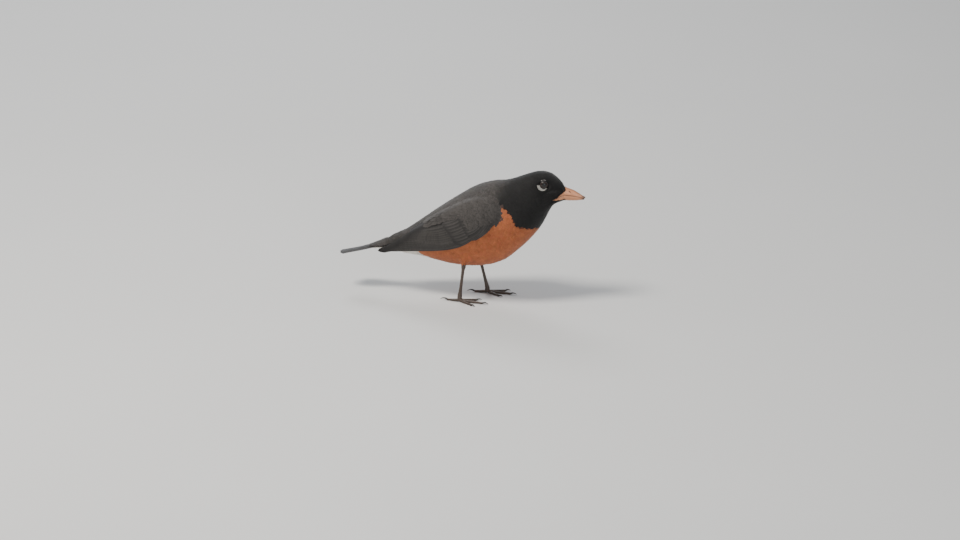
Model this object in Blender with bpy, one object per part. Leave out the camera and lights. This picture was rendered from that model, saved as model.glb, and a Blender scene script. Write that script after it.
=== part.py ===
"""An American robin (Turdus migratorius, adult male) as a life-size still model.

The bird faces +X, its right side is at -Y, and it stands on the floor at Z 0. Lengths below are in
millimetres, and MM turns them into Blender's metres. The body is one loft from the tail coverts to
the bill, parted by thin gaps into trunk, neck and head. Wings, tail, bill, eyes and legs fit round it.
"""

import math
from collections import namedtuple

import bmesh
import bpy
from mathutils import Matrix, Vector

MM = 0.001
GAP = 0.3  # clearance between neighbouring pieces
RIGHT, LEFT = -1, 1  # sign of Y on each side
SIDES = {"right": RIGHT, "left": LEFT}

# Body -----------------------------------------------------------------------------------------
# Each station is a slice through the feathered body: a point on the back and one on the belly, as
# (x, z), and half the width. bias lifts the widest level, as a share of half the depth.
Station = namedtuple("Station", "back belly width bias")
BODY = [
    Station((-62.6, 49.0), (-59.6, 36.3), 7.5, 0.0),  # tail coverts
    Station((-50, 55.0), (-45, 34.4), 11.5, 0.1),  # rump
    Station((-38, 63.5), (-29, 33.2), 17.0, 0.1),  # vent
    Station((-21, 76.2), (-9, 29.6), 22.5, 0.1),  # loins
    Station((-3, 88.8), (15, 29.2), 26.5, 0.1),  # saddle
    Station((13, 98.8), (37, 35.0), 28.5, 0.1),  # mantle
    Station((28, 104.0), (53, 48.0), 26.8, 0.05),  # shoulders
    Station((39, 105.6), (62, 57.0), 22.4, 0.0),  # lower neck
    Station((49, 108.8), (69.5, 66.5), 18.0, -0.05),  # upper neck
    Station((59, 112.8), (75.3, 77.0), 15.4, 0.0),  # nape
    Station((69, 115.2), (79.3, 85.0), 13.5, 0.05),  # cheeks
    Station((78, 113.8), (83.5, 88.2), 11.4, 0.1),  # eyes
    Station((85.5, 108.6), (87.3, 89.7), 7.6, 0.05),  # forehead
    Station((90, 103.2), (90, 90.5), 4.6, 0.0),  # bill base
]
BODY_SEGMENTS = 28
NECK_FROM, HEAD_FROM = 6.75, 9.0  # where the body loft is parted, counted in stations
RINGS_PER_STATION = 2

# The head is turned a little to the bird's left, and the neck takes up the turn.
HEAD_TURN = math.radians(8)
TURN_PIVOT_X, TURN_FULL_X = 42.0, 74.0

# Eyes and bill --------------------------------------------------------------------------------
EYE_RADIUS = 4.5
EYE_CENTRE = (73.8, 8.9, 106.2)

BillStation = namedtuple("BillStation", "x culmen tomium gonys width")
BILL = [
    BillStation(90.3, 102.6, 96.4, 90.9, 4.3),
    BillStation(95.6, 100.9, 95.8, 90.8, 3.5),
    BillStation(100.6, 98.7, 95.1, 91.1, 2.6),
    BillStation(104.6, 96.3, 94.1, 91.6, 1.6),
    BillStation(107.0, 94.3, 93.2, 92.1, 0.6),
]
BILL_SEGMENTS = 14
BILL_HOOK = 0.9  # how far the upper tip passes the lower one

# Wings ----------------------------------------------------------------------------------------
# The folded wing lies on a former: the body's own stations, widened past the rump where the
# primaries stand clear of it.
WING_FORMER = [
    Station((-73, 42.0), (-71, 34.0), 12.3, 0.0),
    Station((-62, 48.0), (-60, 35.0), 12.8, 0.0),
    Station((-50, 55.5), (-45, 34.5), 14.8, 0.1),
    Station((-38, 63.8), (-29, 33.0), 18.0, 0.1),
] + BODY[3:9]
WING_FRONT = 7.38  # the bend of the wing, in former stations
# Outline of the folded wing: share of the way from bend to tip, upper edge and lower edge in
# degrees round the body from the back, and thickness.
WingOutline = namedtuple("WingOutline", "along upper lower thick")
WING_OUTLINE = [
    WingOutline(0.00, 70, 78, 0.7),
    WingOutline(0.04, 55, 90, 1.8),
    WingOutline(0.13, 45, 99, 3.2),
    WingOutline(0.28, 39, 107, 3.6),
    WingOutline(0.45, 36, 113, 3.2),
    WingOutline(0.60, 38, 117, 2.6),
    WingOutline(0.73, 50, 121, 2.0),
    WingOutline(0.86, 74, 122, 1.5),
    WingOutline(1.00, 96, 106, 0.8),
]
WING_PARTED = 0.64  # where the tertials end and the bare primaries begin
WING_EDGE = 0.55  # thickness left at the wing's rim
WING_GAP = 0.5  # clearance to the body, enough for the flats of both surfaces

# Tail -----------------------------------------------------------------------------------------
TAIL_ROOT = (-61.6, 42.9)  # (x, z) of the tail's middle where it leaves the coverts
TAIL_TIP = (-107.5, 31.5)
TAIL_ROOT_WIDTH, TAIL_TIP_WIDTH = 7.0, 12.6  # half widths
TAIL_ROOT_THICK, TAIL_TIP_THICK = 10.2, 1.1
TAIL_CAMBER = 1.2
TAIL_ROLL = math.radians(5)  # its right edge is held a little high
TAIL_FEATHERS = 12

# Legs and feet --------------------------------------------------------------------------------
# Where each foot stands and where its ankle is, with Y measured outwards.
Leg = namedtuple("Leg", "foot_x ankle_x")
LEGS = {"right": Leg(4.0, 8.0), "left": Leg(18.0, 10.0)}
FOOT_Y, ANKLE_Y = 16.5, 17.5
ANKLE_Z = 34.0
THIGH_TOP_Z = 50.0
THIGH_RADIUS = 9.0
ANKLE_RADIUS = 2.3
INSTEP_Z = 4.6
FLAT_CUT = 0.25  # how much of each toe pad is below its own flat

Toe = namedtuple("Toe", "name heading length radius claw")
TOES = [
    Toe("inner", 30, 14.5, 1.25, 4.6),
    Toe("middle", -3, 20.5, 1.35, 5.4),
    Toe("outer", -34, 16.0, 1.2, 4.6),
    Toe("hallux", 176, 11.0, 1.4, 7.0),
]
TOE_SEGMENTS = 8


# Materials ------------------------------------------------------------------------------------
def material(name, colour, roughness, metallic=0.0):
    made = bpy.data.materials.new(name)
    made.use_nodes = True
    shader = made.node_tree.nodes["Principled BSDF"]
    shader.inputs["Base Color"].default_value = (*colour, 1.0)
    shader.inputs["Roughness"].default_value = roughness
    shader.inputs["Metallic"].default_value = metallic
    made.diffuse_color = (*colour, 1.0)
    return made


# Meshes ---------------------------------------------------------------------------------------
def add_object(name, bm, finish, collection):
    """Makes the bmesh, built in millimetres, an object in metres."""
    bmesh.ops.scale(bm, vec=(MM, MM, MM), verts=bm.verts)
    bmesh.ops.recalc_face_normals(bm, faces=bm.faces)
    mesh = bpy.data.meshes.new(name)
    bm.to_mesh(mesh)
    bm.free()
    mesh.materials.append(finish)
    mesh.shade_smooth()
    mesh.set_sharp_from_angle(angle=math.radians(50))
    made = bpy.data.objects.new(name, mesh)
    collection.objects.link(made)
    return made


def loft(rings):
    """A closed bmesh through rings with an even count of points. Each end is closed straight
    across, so that two ends a gap apart keep that gap all over."""
    bm = bmesh.new()
    rows = [[bm.verts.new(point) for point in ring] for ring in rings]
    count = len(rows[0])
    for near, far in zip(rows, rows[1:]):
        for i in range(count):
            j = (i + 1) % count
            bm.faces.new((near[i], near[j], far[j], far[i]))
    for end in (rows[0], rows[-1]):
        for i in range(count // 2 - 1):
            bm.faces.new((end[i], end[i + 1], end[count - 2 - i], end[count - 1 - i]))
    return bm


def spread(low, high, steps):
    return [low + (high - low) * i / steps for i in range(steps + 1)]


def smooth_between(before, start, end, after, t):
    """Catmull-Rom between start and end."""
    return 0.5 * (
        2 * start
        + (end - before) * t
        + (2 * before - 5 * start + 4 * end - after) * t * t
        + (3 * start - before - 3 * end + after) * t**3
    )


def blended(table, at):
    """The flat numbers of a table's rows, interpolated smoothly at a row number."""
    i = min(max(int(at), 0), len(table) - 2)
    rows = [table[min(max(k, 0), len(table) - 1)] for k in (i - 1, i, i + 1, i + 2)]
    return [smooth_between(*values, at - i) for values in zip(*rows)]


def flat_stations(stations):
    return [(*s.back, *s.belly, s.width, s.bias) for s in stations]


def ring_point(stations, at, angle, side, swell=0.0):
    """A point on the body at a station number, at an angle round from the back."""
    back_x, back_z, belly_x, belly_z, width, bias = blended(stations, at)
    back, belly = Vector((back_x, back_z)), Vector((belly_x, belly_z))
    middle, half = (back + belly) / 2, (back - belly) / 2
    half *= 1 + swell / half.length
    lift = math.cos(angle) + bias * math.sin(angle) ** 2
    x, z = middle + half * lift
    return Vector((x, side * (width + swell) * math.sin(angle), z))


def body_ring(at, swell=0.0):
    return [
        ring_point(FLAT_BODY, at, 2 * math.pi * i / BODY_SEGMENTS, LEFT, swell)
        for i in range(BODY_SEGMENTS)
    ]


def body_loft(start, end, swell=0.0):
    steps = max(2, round((end - start) * RINGS_PER_STATION))
    return loft([body_ring(at, swell) for at in spread(start, end, steps)])


def turn_share(x):
    share = min(max((x - TURN_PIVOT_X) / (TURN_FULL_X - TURN_PIVOT_X), 0.0), 1.0)
    return share * share * (3 - 2 * share)


def turn_head(bm):
    """Swings everything forward of the shoulders to the bird's left, more the further forward."""
    pivot = Vector((TURN_PIVOT_X, 0, 0))
    for vert in bm.verts:
        turn = Matrix.Rotation(HEAD_TURN * turn_share(vert.co.x), 3, "Z")
        vert.co = pivot + turn @ (vert.co - pivot)


def cut(target, cutter):
    """Takes the cutter out of the target with a Boolean modifier."""
    modifier = target.modifiers.new("Cut", "BOOLEAN")
    modifier.operation = "DIFFERENCE"
    modifier.solver = "EXACT"
    modifier.object = cutter


def as_cutter(made):
    made.hide_render = True
    made.display_type = "WIRE"
    return made


# Pieces ---------------------------------------------------------------------------------------
def make_body(finish, parts):
    """Trunk, neck and head, a thin gap apart."""
    half_gap = 0.018  # in stations, which is about GAP apart in all
    bands = [
        ("trunk", 0.0, NECK_FROM - half_gap),
        ("neck", NECK_FROM + half_gap, HEAD_FROM - half_gap),
        ("head", HEAD_FROM + half_gap, len(BODY) - 1),
    ]
    made = {}
    for name, start, end in bands:
        bm = body_loft(start, end)
        turn_head(bm)
        made[name] = add_object(name, bm, finish[name], parts)
    return made


def make_eye(side_name, side, head, finish, parts, cutters):
    """A ball in a socket of the head."""
    balls = {}
    for name, radius, collection in (
        ("eye_" + side_name, EYE_RADIUS, parts),
        ("socket_" + side_name, EYE_RADIUS + GAP, cutters),
    ):
        x, y, z = EYE_CENTRE
        bm = bmesh.new()
        bmesh.ops.create_uvsphere(bm, u_segments=16, v_segments=10, radius=radius)
        bmesh.ops.translate(bm, vec=(x, side * y, z), verts=bm.verts)
        turn_head(bm)
        balls[name] = add_object(name, bm, finish, collection)
    cut(head, as_cutter(balls["socket_" + side_name]))


def bill_ring(station, top, bottom, x):
    """A slice of one mandible, rounded on top and underneath."""
    middle, half = (top + bottom) / 2, (top - bottom) / 2
    ring = []
    for i in range(BILL_SEGMENTS):
        angle = 2 * math.pi * i / BILL_SEGMENTS
        narrow = 1 - 0.25 * abs(math.cos(angle))
        ring.append(
            (x, station.width * narrow * math.sin(angle), middle + half * math.cos(angle))
        )
    return ring


def make_bill(finish, parts):
    upper, lower = [], []
    last = len(BILL) - 1
    for at in spread(0, last, 2 * last):
        station = BillStation(*blended(BILL, at))
        hook = BILL_HOOK * max(0, at - last + 1)
        bottom = min(station.gonys, station.tomium - GAP - 0.6)
        upper.append(bill_ring(station, station.culmen, station.tomium, station.x + hook))
        lower.append(bill_ring(station, station.tomium - GAP, bottom, station.x))
    for name, rings in (("bill_upper", upper), ("bill_lower", lower)):
        bm = loft(rings)
        turn_head(bm)
        add_object(name, bm, finish, parts)


def wing_outline(along):
    """(upper angle, lower angle, thickness) of the wing at a share of its length."""
    row = 0
    while row < len(WING_OUTLINE) - 2 and along > WING_OUTLINE[row + 1].along:
        row += 1
    span = WING_OUTLINE[row + 1].along - WING_OUTLINE[row].along
    values = blended(WING_OUTLINE, row + (along - WING_OUTLINE[row].along) / span)
    return math.radians(values[1]), math.radians(values[2]), values[3]


def wing_ring(along, side):
    """A slice across the folded wing: the outer skin from the upper edge to the lower, then back
    along the inner skin, which lies a gap off the body."""
    across = 11
    upper, lower, thick = wing_outline(along)
    station = WING_FRONT * (1 - along)
    outer, inner = [], []
    for share in spread(0, 1, across):
        angle = upper + (lower - upper) * share
        crown = math.sin(math.pi * share) ** 0.6
        height = WING_EDGE + (thick - WING_EDGE) * crown
        outer.append(ring_point(FLAT_FORMER, station, angle, side, WING_GAP + height))
        inner.append(ring_point(FLAT_FORMER, station, angle, side, WING_GAP))
    return outer + inner[::-1]


def make_wing(side_name, side, finish, parts):
    half_gap = 0.0012  # a share of the wing's length
    bands = [
        ("wing_" + side_name, 0.0, WING_PARTED - half_gap, 14),
        ("primaries_" + side_name, WING_PARTED + half_gap, 1.0, 8),
    ]
    for name, start, end, steps in bands:
        bm = loft([wing_ring(along, side) for along in spread(start, end, steps)])
        turn_head(bm)
        add_object(name, bm, finish, parts)


def tail_end(across):
    """How far the tail reaches at a place across it, -1 to 1: one round tip for each feather,
    and a shallow notch in the middle."""
    feather = (across + 1) / 2 * TAIL_FEATHERS / 2
    tip = 1.3 * abs(math.cos(math.pi * feather)) ** 0.7
    return 1.2 * math.cos(math.pi * across) - 2.4 * across**4 - tip


def make_tail(finish, parts):
    """The folded tail: a thin roof of overlapping feathers, thick where the coverts lie on it."""
    root, tip = Vector(TAIL_ROOT), Vector(TAIL_TIP)
    along = (tip - root).normalized()
    up = Vector((along.y, -along.x)) * (1 if along.x < 0 else -1)
    columns, rows = 24, 8
    rings = []
    for share in spread(0, 1, rows):
        width = TAIL_ROOT_WIDTH + (TAIL_TIP_WIDTH - TAIL_ROOT_WIDTH) * share**0.8
        thick = TAIL_TIP_THICK + (TAIL_ROOT_THICK - TAIL_TIP_THICK) * (1 - share) ** 2.2
        top, bottom = [], []
        for across in spread(-1, 1, columns):
            reach = (tip - root).length + tail_end(across)
            x, z = root + along * reach * share - up * TAIL_CAMBER * across**2
            half = thick / 2 * (1 - across**2) ** 0.5 * (1 - 0.5 * share)
            half = max(half, 0.3)
            top.append((x + up.x * half, width * across, z + up.y * half))
            bottom.append((x - up.x * half, width * across, z - up.y * half))
        rings.append(top + bottom[::-1])
    bm = loft(rings)
    axis = Vector((along.x, 0, along.y))
    roll = Matrix.Rotation(TAIL_ROLL, 3, axis)
    bmesh.ops.rotate(bm, cent=(root.x, 0, root.y), matrix=roll, verts=bm.verts)
    add_object("tail", bm, finish, parts)


def level_ring(centre, radius_x, radius_y, count=10):
    """A level oval of points."""
    x, y, z = centre
    turns = [2 * math.pi * i / count for i in range(count)]
    return [(x + radius_x * math.cos(a), y + radius_y * math.sin(a), z) for a in turns]


def make_leg(side_name, side, finish, parts, trunk_cutter):
    """The feathered thigh, cut to the trunk above it, and the bare shank."""
    leg = LEGS[side_name]
    ankle = Vector((leg.ankle_x, side * ANKLE_Y, ANKLE_Z))
    hip = Vector((leg.ankle_x + 4, side * (ANKLE_Y - 3.5), THIGH_TOP_Z))
    rings = []
    for share in spread(0, 1, 6):
        radius = ANKLE_RADIUS + 0.5 + (THIGH_RADIUS - ANKLE_RADIUS) * share**0.8
        rings.append(level_ring(ankle.lerp(hip, share), radius, radius * 0.85, 16))
    thigh = add_object("thigh_" + side_name, loft(rings), finish["trunk"], parts)
    cut(thigh, trunk_cutter)

    foot = Vector((leg.foot_x, side * FOOT_Y, INSTEP_Z + GAP))
    top = ankle - Vector((0, 0, GAP))
    profile = [(0.0, 2.0, 1.9), (0.08, 1.7, 1.5), (0.25, 1.35, 1.05), (0.6, 1.25, 1.0)]
    profile += [(0.82, 1.4, 1.15), (0.93, 2.0, 1.6), (1.0, ANKLE_RADIUS, 1.9)]
    rings = [level_ring(foot.lerp(top, at), rx, ry) for at, rx, ry in profile]
    add_object("shank_" + side_name, loft(rings), finish["leg"], parts)


def heading_frame(heading, side):
    """Forward and sideways directions of a toe. Headings open towards the bird's midline."""
    angle = math.radians(heading) * -side
    forward = Vector((math.cos(angle), math.sin(angle), 0))
    return forward, Vector((-forward.y, forward.x, 0))


def upright_ring(centre, forward_tilt, sideways, forward, radius, count):
    """A ring round a toe or claw, square to its direction in the upright plane."""
    up = Vector((0, 0, 1)) * math.cos(forward_tilt) - forward * math.sin(forward_tilt)
    turns = [2 * math.pi * i / count for i in range(count)]
    return [centre + (sideways * math.cos(a) + up * math.sin(a)) * radius for a in turns]


def toe_solid(toe, foot, side):
    """A tapering toe with a swelling under each joint."""
    forward, sideways = heading_frame(toe.heading, side)
    rings = []
    for share in spread(0, 1, 9):
        taper = 1 - 0.32 * share
        pads = 1 + 0.12 * math.cos(2 * math.pi * share * 3)
        radius = toe.radius * taper * (pads if share > 0 else 1.0)
        centre = foot + forward * toe.length * share
        centre.z = toe.radius * taper * 1.12 - FLAT_CUT
        rings.append(upright_ring(centre, 0, sideways, forward, radius, TOE_SEGMENTS))
    return loft(rings)


def make_claw(toe, foot, side, name, finish, parts):
    """A claw that leaves the end of its toe level and curves down to a fine tip."""
    forward, sideways = heading_frame(toe.heading, side)
    end_radius = toe.radius * 0.68
    start = foot + forward * (toe.length + GAP)
    start.z = end_radius * 1.12 - FLAT_CUT + 0.15
    bend = math.radians(62)
    arc = toe.claw / bend
    rise = math.radians(24)  # the claw first rises, then falls
    rings = []
    for share in spread(0, 1, 5):
        tilt = rise * min(1.0, share * 6) - bend * share
        run = arc * (math.sin(bend * share - rise) + math.sin(rise))
        climb = arc * (math.cos(bend * share - rise) - math.cos(rise))
        centre = start + forward * run + Vector((0, 0, climb))
        radius = end_radius * 0.85 * (1 - share) ** 0.8 + 0.26
        centre.z = max(centre.z, radius + 0.05)
        rings.append(upright_ring(centre, tilt, sideways, forward, radius, TOE_SEGMENTS))
    add_object(name, loft(rings), finish, parts)


def make_foot(side_name, side, finish, parts, cutters):
    """Four toes joined to the instep and cut flat underneath, each with its own claw."""
    foot = Vector((LEGS[side_name].foot_x, side * FOOT_Y, 0))
    instep = [(-1.0, 2.2), (0.6, 2.7), (2.2, 2.6), (3.6, 2.1), (INSTEP_Z, 1.95)]
    rings = [level_ring(foot + Vector((0, 0, z)), r, r * 0.9, 12) for z, r in instep]
    made = add_object("foot_" + side_name, loft(rings), finish["leg"], parts)
    for toe in TOES:
        name = f"{toe.name}_{side_name}"
        solid = add_object("toe_" + name, toe_solid(toe, foot, side), finish["leg"], cutters)
        join = made.modifiers.new("Join " + toe.name, "BOOLEAN")
        join.operation = "UNION"
        join.object = as_cutter(solid)
        make_claw(toe, foot, side, "claw_" + name, finish["claw"], parts)
    bm = bmesh.new()
    bmesh.ops.create_cube(bm, size=80)
    bmesh.ops.translate(bm, vec=foot + Vector((0, 0, -40)), verts=bm.verts)
    cut(made, as_cutter(add_object("floor_" + side_name, bm, finish["leg"], cutters)))


def centre_on_floor(parts):
    """Moves every piece so that the middle of the model's box is over the origin."""
    bpy.context.view_layer.update()
    graph = bpy.context.evaluated_depsgraph_get()
    corners = []
    for piece in parts.objects:
        shape = piece.evaluated_get(graph)
        corners += [shape.matrix_world @ Vector(corner) for corner in shape.bound_box]
    low = Vector(min(c[axis] for c in corners) for axis in range(3))
    high = Vector(max(c[axis] for c in corners) for axis in range(3))
    shift = -(low + high) / 2
    shift.z = 0
    for piece in bpy.data.objects:
        piece.location += shift


def build():
    for old in list(bpy.data.objects):
        bpy.data.objects.remove(old, do_unlink=True)
    parts = bpy.data.collections.new("american_robin")
    cutters = bpy.data.collections.new("cutters")
    bpy.context.scene.collection.children.link(parts)
    bpy.context.scene.collection.children.link(cutters)
    finish = {
        "trunk": material("rust_breast", (0.33, 0.09, 0.035), 0.75),
        "neck": material("grey_mantle", (0.05, 0.045, 0.042), 0.75),
        "head": material("sooty_hood", (0.014, 0.013, 0.013), 0.7),
        "wing": material("slate_wing", (0.045, 0.04, 0.038), 0.65),
        "tail": material("dark_tail", (0.018, 0.016, 0.016), 0.6),
        "eye": material("dark_eye", (0.012, 0.007, 0.005), 0.08),
        "bill": material("horn_bill", (0.55, 0.29, 0.13), 0.4),
        "leg": material("scaled_leg", (0.06, 0.04, 0.03), 0.5),
        "claw": material("dark_claw", (0.02, 0.017, 0.015), 0.35),
    }
    body = make_body(finish, parts)
    trunk_cutter = as_cutter(
        add_object("trunk_cutter", body_loft(0.0, NECK_FROM, GAP), finish["trunk"], cutters)
    )
    make_bill(finish["bill"], parts)
    make_tail(finish["tail"], parts)
    for side_name, side in SIDES.items():
        make_eye(side_name, side, body["head"], finish["eye"], parts, cutters)
        make_wing(side_name, side, finish["wing"], parts)
        make_leg(side_name, side, finish, parts, trunk_cutter)
        make_foot(side_name, side, finish, parts, cutters)
    centre_on_floor(parts)


FLAT_BODY = flat_stations(BODY)
FLAT_FORMER = flat_stations(WING_FORMER)
build()
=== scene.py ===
import math
from collections import namedtuple

import bmesh
import bpy
import numpy as np
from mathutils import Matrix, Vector
from mathutils.bvhtree import BVHTree


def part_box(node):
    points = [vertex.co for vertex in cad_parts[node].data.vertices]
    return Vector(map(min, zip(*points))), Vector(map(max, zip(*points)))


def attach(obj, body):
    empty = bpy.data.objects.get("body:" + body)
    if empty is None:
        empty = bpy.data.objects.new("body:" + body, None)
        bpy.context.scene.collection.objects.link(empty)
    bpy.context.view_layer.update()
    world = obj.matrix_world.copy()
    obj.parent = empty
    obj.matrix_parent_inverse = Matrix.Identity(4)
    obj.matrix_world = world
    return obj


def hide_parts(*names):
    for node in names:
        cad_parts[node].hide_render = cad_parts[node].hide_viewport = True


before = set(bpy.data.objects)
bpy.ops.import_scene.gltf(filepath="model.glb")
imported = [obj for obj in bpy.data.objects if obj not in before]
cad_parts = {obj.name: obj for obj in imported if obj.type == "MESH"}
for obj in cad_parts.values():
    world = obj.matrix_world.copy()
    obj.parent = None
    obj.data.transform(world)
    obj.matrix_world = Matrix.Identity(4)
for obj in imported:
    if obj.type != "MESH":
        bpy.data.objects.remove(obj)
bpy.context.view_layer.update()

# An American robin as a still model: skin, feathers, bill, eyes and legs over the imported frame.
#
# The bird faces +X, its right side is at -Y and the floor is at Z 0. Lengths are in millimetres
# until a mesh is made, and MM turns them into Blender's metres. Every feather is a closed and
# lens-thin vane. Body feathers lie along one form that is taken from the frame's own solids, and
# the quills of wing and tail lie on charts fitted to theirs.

MM = 0.001
SIDES = {"right": -1, "left": 1}
RNG = np.random.default_rng(11)

HEAD_TURN = math.radians(8)
FORWARD = np.array((math.cos(HEAD_TURN), math.sin(HEAD_TURN), 0.0))  # where the bill points
SIDEWAYS = np.array((-math.sin(HEAD_TURN), math.cos(HEAD_TURN), 0.0))
UP = np.array((0.0, 0.0, 1.0))

# Colours, linear ----------------------------------------------------------------------------------
SOOT = np.array((0.0105, 0.0097, 0.0093))
MANTLE = np.array((0.040, 0.0355, 0.0325))
RUMP = MANTLE * 0.85
RUST = np.array((0.34, 0.100, 0.038))
WHITE = np.array((0.66, 0.62, 0.56))
QUILL = np.array((0.0195, 0.0175, 0.0165))
QUILL_EDGE = np.array((0.060, 0.054, 0.049))
TAIL_DARK = np.array((0.0165, 0.0148, 0.014))
HORN = np.array((0.57, 0.24, 0.115))
# Dusky horn of the bill's tip, which, darker, also serves as painted shade in the mouth's slit and
# the nostrils.
HORN_DUSK_AND_SHADE = np.array((0.055, 0.035, 0.025))


# Small helpers ------------------------------------------------------------------------------------
def ramp(value, low, high):
    """0 below low, 1 above high, and smooth between."""
    share = np.clip((value - low) / (high - low), 0.0, 1.0)
    return share * share * (3 - 2 * share)


def unit(vectors):
    return vectors / np.maximum(np.linalg.norm(vectors, axis=-1, keepdims=True), 1e-9)


def mixed(first, second, share):
    """first where share is 0 and second where it is 1, for rows of colours or directions."""
    share = np.asarray(share)[..., None]
    return first * (1 - share) + second * share


def points_of(mesh):
    """A mesh's points in millimetres, as rows."""
    points = np.empty(len(mesh.vertices) * 3, np.float32)
    mesh.vertices.foreach_get("co", points)
    return points.reshape(-1, 3).astype(float) / MM


def corners_of(node):
    return points_of(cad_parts[node].data)


def centre_of(node):
    low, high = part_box(node)
    return (np.array(low) + np.array(high)) / 2 / MM


# Materials ----------------------------------------------------------------------------------------
def start_material(name, roughness, **settings):
    """A new material: (material, its tree, its shader)."""
    made = bpy.data.materials.new(name)
    made.use_nodes = True
    tree = made.node_tree
    shader = tree.nodes["Principled BSDF"]
    shader.inputs["Roughness"].default_value = roughness
    for socket, value in settings.items():
        shader.inputs[socket.replace("_", " ")].default_value = value
    return made, tree, shader


def add_node(tree, kind, inputs=None, **settings):
    """A shader node with its settings, its inputs set to values or linked to sockets."""
    node = tree.nodes.new("ShaderNode" + kind)
    for name, value in settings.items():
        setattr(node, name, value)
    for name, value in (inputs or {}).items():
        if isinstance(value, bpy.types.NodeSocket):
            tree.links.new(value, node.inputs[name])
        else:
            node.inputs[name].default_value = value
    return node


def maths(tree, operation, first, second=0.0):
    node = add_node(tree, "Math", {0: first, 1: second}, operation=operation)
    return node.outputs[0]


def step_between(tree, value, low, high, start=0.0, end=1.0):
    """start below low and end above high, smoothly."""
    node = add_node(
        tree,
        "MapRange",
        {"Value": value, "From Min": low, "From Max": high, "To Min": start, "To Max": end},
        interpolation_type="SMOOTHSTEP",
    )
    return node.outputs["Result"]


def blend_colour(tree, share, first, second, how="MIX"):
    node = add_node(tree, "Mix", {0: share, 6: first, 7: second}, data_type="RGBA", blend_type=how)
    return node.outputs[2]


def noise(tree, scale, detail=2.0, vector=None):
    if vector is None:
        vector = add_node(tree, "TexCoord").outputs["Object"]
    inputs = {"Scale": scale, "Detail": detail, "Vector": vector}
    return add_node(tree, "TexNoise", inputs).outputs["Fac"]


def bump(tree, shader, height, distance):
    node = add_node(tree, "Bump", {"Height": height, "Distance": distance})
    tree.links.new(node.outputs["Normal"], shader.inputs["Normal"])


def shade_base(tree, shader, attribute, shade):
    """Sets the base colour to a mesh attribute's colour times a grey shade."""
    paint = add_node(tree, "Attribute", attribute_name=attribute).outputs["Color"]
    grey = add_node(tree, "CombineColor", {"Red": shade, "Green": shade, "Blue": shade})
    colour = blend_colour(tree, 1.0, paint, grey.outputs["Color"], "MULTIPLY")
    tree.links.new(colour, shader.inputs["Base Color"])


def plumage_material(name, roughness, sheen, barbs, slant, shaft, relief):
    """Feather: the coat's own colours, with barbs that leave the shaft slantwise. barbs is how many
    there are from root to tip, slant how far they run forward for each width, shaft the share of
    the width that the shaft takes, and relief how far the barbs stand out."""
    made, tree, shader = start_material(
        name, roughness, Sheen_Weight=sheen, Sheen_Roughness=0.45, Specular_IOR_Level=0.25
    )
    vane = add_node(tree, "UVMap", uv_map="vane").outputs["UV"]
    parts = add_node(tree, "SeparateXYZ", {"Vector": vane})
    along, across = parts.outputs["X"], parts.outputs["Y"]
    off_shaft = maths(tree, "ABSOLUTE", maths(tree, "SUBTRACT", across, 0.5))
    leaving = maths(tree, "SUBTRACT", along, maths(tree, "MULTIPLY", off_shaft, slant))
    place = add_node(tree, "TexCoord").outputs["Object"]
    where = add_node(tree, "SeparateXYZ", {"Vector": place})
    # Noise drawn out along each barb, and different from feather to feather
    strand = {
        "X": maths(tree, "MULTIPLY", leaving, barbs),
        "Y": maths(tree, "MULTIPLY", across, 2.0),
        "Z": maths(tree, "MULTIPLY", where.outputs["X"], 90.0),
    }
    barb = noise(tree, 1.0, 3.0, add_node(tree, "CombineXYZ", strand).outputs["Vector"])
    fine = step_between(tree, barb, 0.3, 0.7, 0.86, 1.14)
    patchy = step_between(tree, noise(tree, 160.0, 3.0), 0.3, 0.7, -0.09, 0.09)
    light = maths(tree, "ADD", fine, patchy)
    # The shaft is a thin darker line that stands up from the vane
    on_shaft = step_between(tree, off_shaft, shaft * 0.25, shaft * 0.5, 1.0 - 1.5 * shaft, 1.0)
    shade_base(tree, shader, "plumage", maths(tree, "MULTIPLY", light, on_shaft))
    ridge = step_between(tree, off_shaft, 0.0, shaft * 0.5, 12.0 * shaft, 0.0)
    bump(tree, shader, maths(tree, "ADD", barb, ridge), relief * MM)
    return made


def down_material():
    """The skin under the feathers, with the coat's own markings on matted down."""
    made, tree, shader = start_material("matted_down", 0.85, Sheen_Weight=0.15)
    fluff = noise(tree, 900.0, 4.0)
    shade_base(tree, shader, "plumage", step_between(tree, fluff, 0.25, 0.75, 0.65, 0.95))
    bump(tree, shader, fluff, 0.25 * MM)
    return made


def painted_material(name, attribute, roughness, grain_scale, grain, relief, **settings):
    """A surface whose colours come from a mesh attribute, with a fine grain over them that shades
    it by grain and stands out by relief."""
    made, tree, shader = start_material(name, roughness, **settings)
    speck = noise(tree, grain_scale, 4.0)
    shade = step_between(tree, speck, 0.3, 0.7, 1.0 - grain, 1.0 + grain)
    shade_base(tree, shader, attribute, shade)
    wear = step_between(tree, speck, 0.2, 0.8, roughness * 0.8, min(1.0, roughness * 1.25))
    tree.links.new(wear, shader.inputs["Roughness"])
    bump(tree, shader, speck, relief * MM)
    return made


# Meshes -------------------------------------------------------------------------------------------
def show(name, mesh, material):
    """Puts a finished mesh in the scene as a piece that rides on the bird."""
    mesh.materials.append(material)
    made = bpy.data.objects.new(name, mesh)
    bpy.context.scene.collection.objects.link(made)
    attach(made, "root")
    return made


def paint_points(mesh, attribute, colours):
    """Gives each point of the mesh its colour, or all of them one."""
    layer = mesh.color_attributes.new(attribute, "FLOAT_COLOR", "POINT")
    full = np.ones((len(mesh.vertices), 4), np.float32)
    full[:, :3] = np.clip(colours, 0, 1)
    layer.data.foreach_set("color", full.ravel())


def move_points(mesh, points):
    """Puts a mesh's points at new places, in millimetres."""
    mesh.vertices.foreach_set("co", (points * MM).astype(np.float32).ravel())
    mesh.update()
    mesh.shade_smooth()


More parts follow.
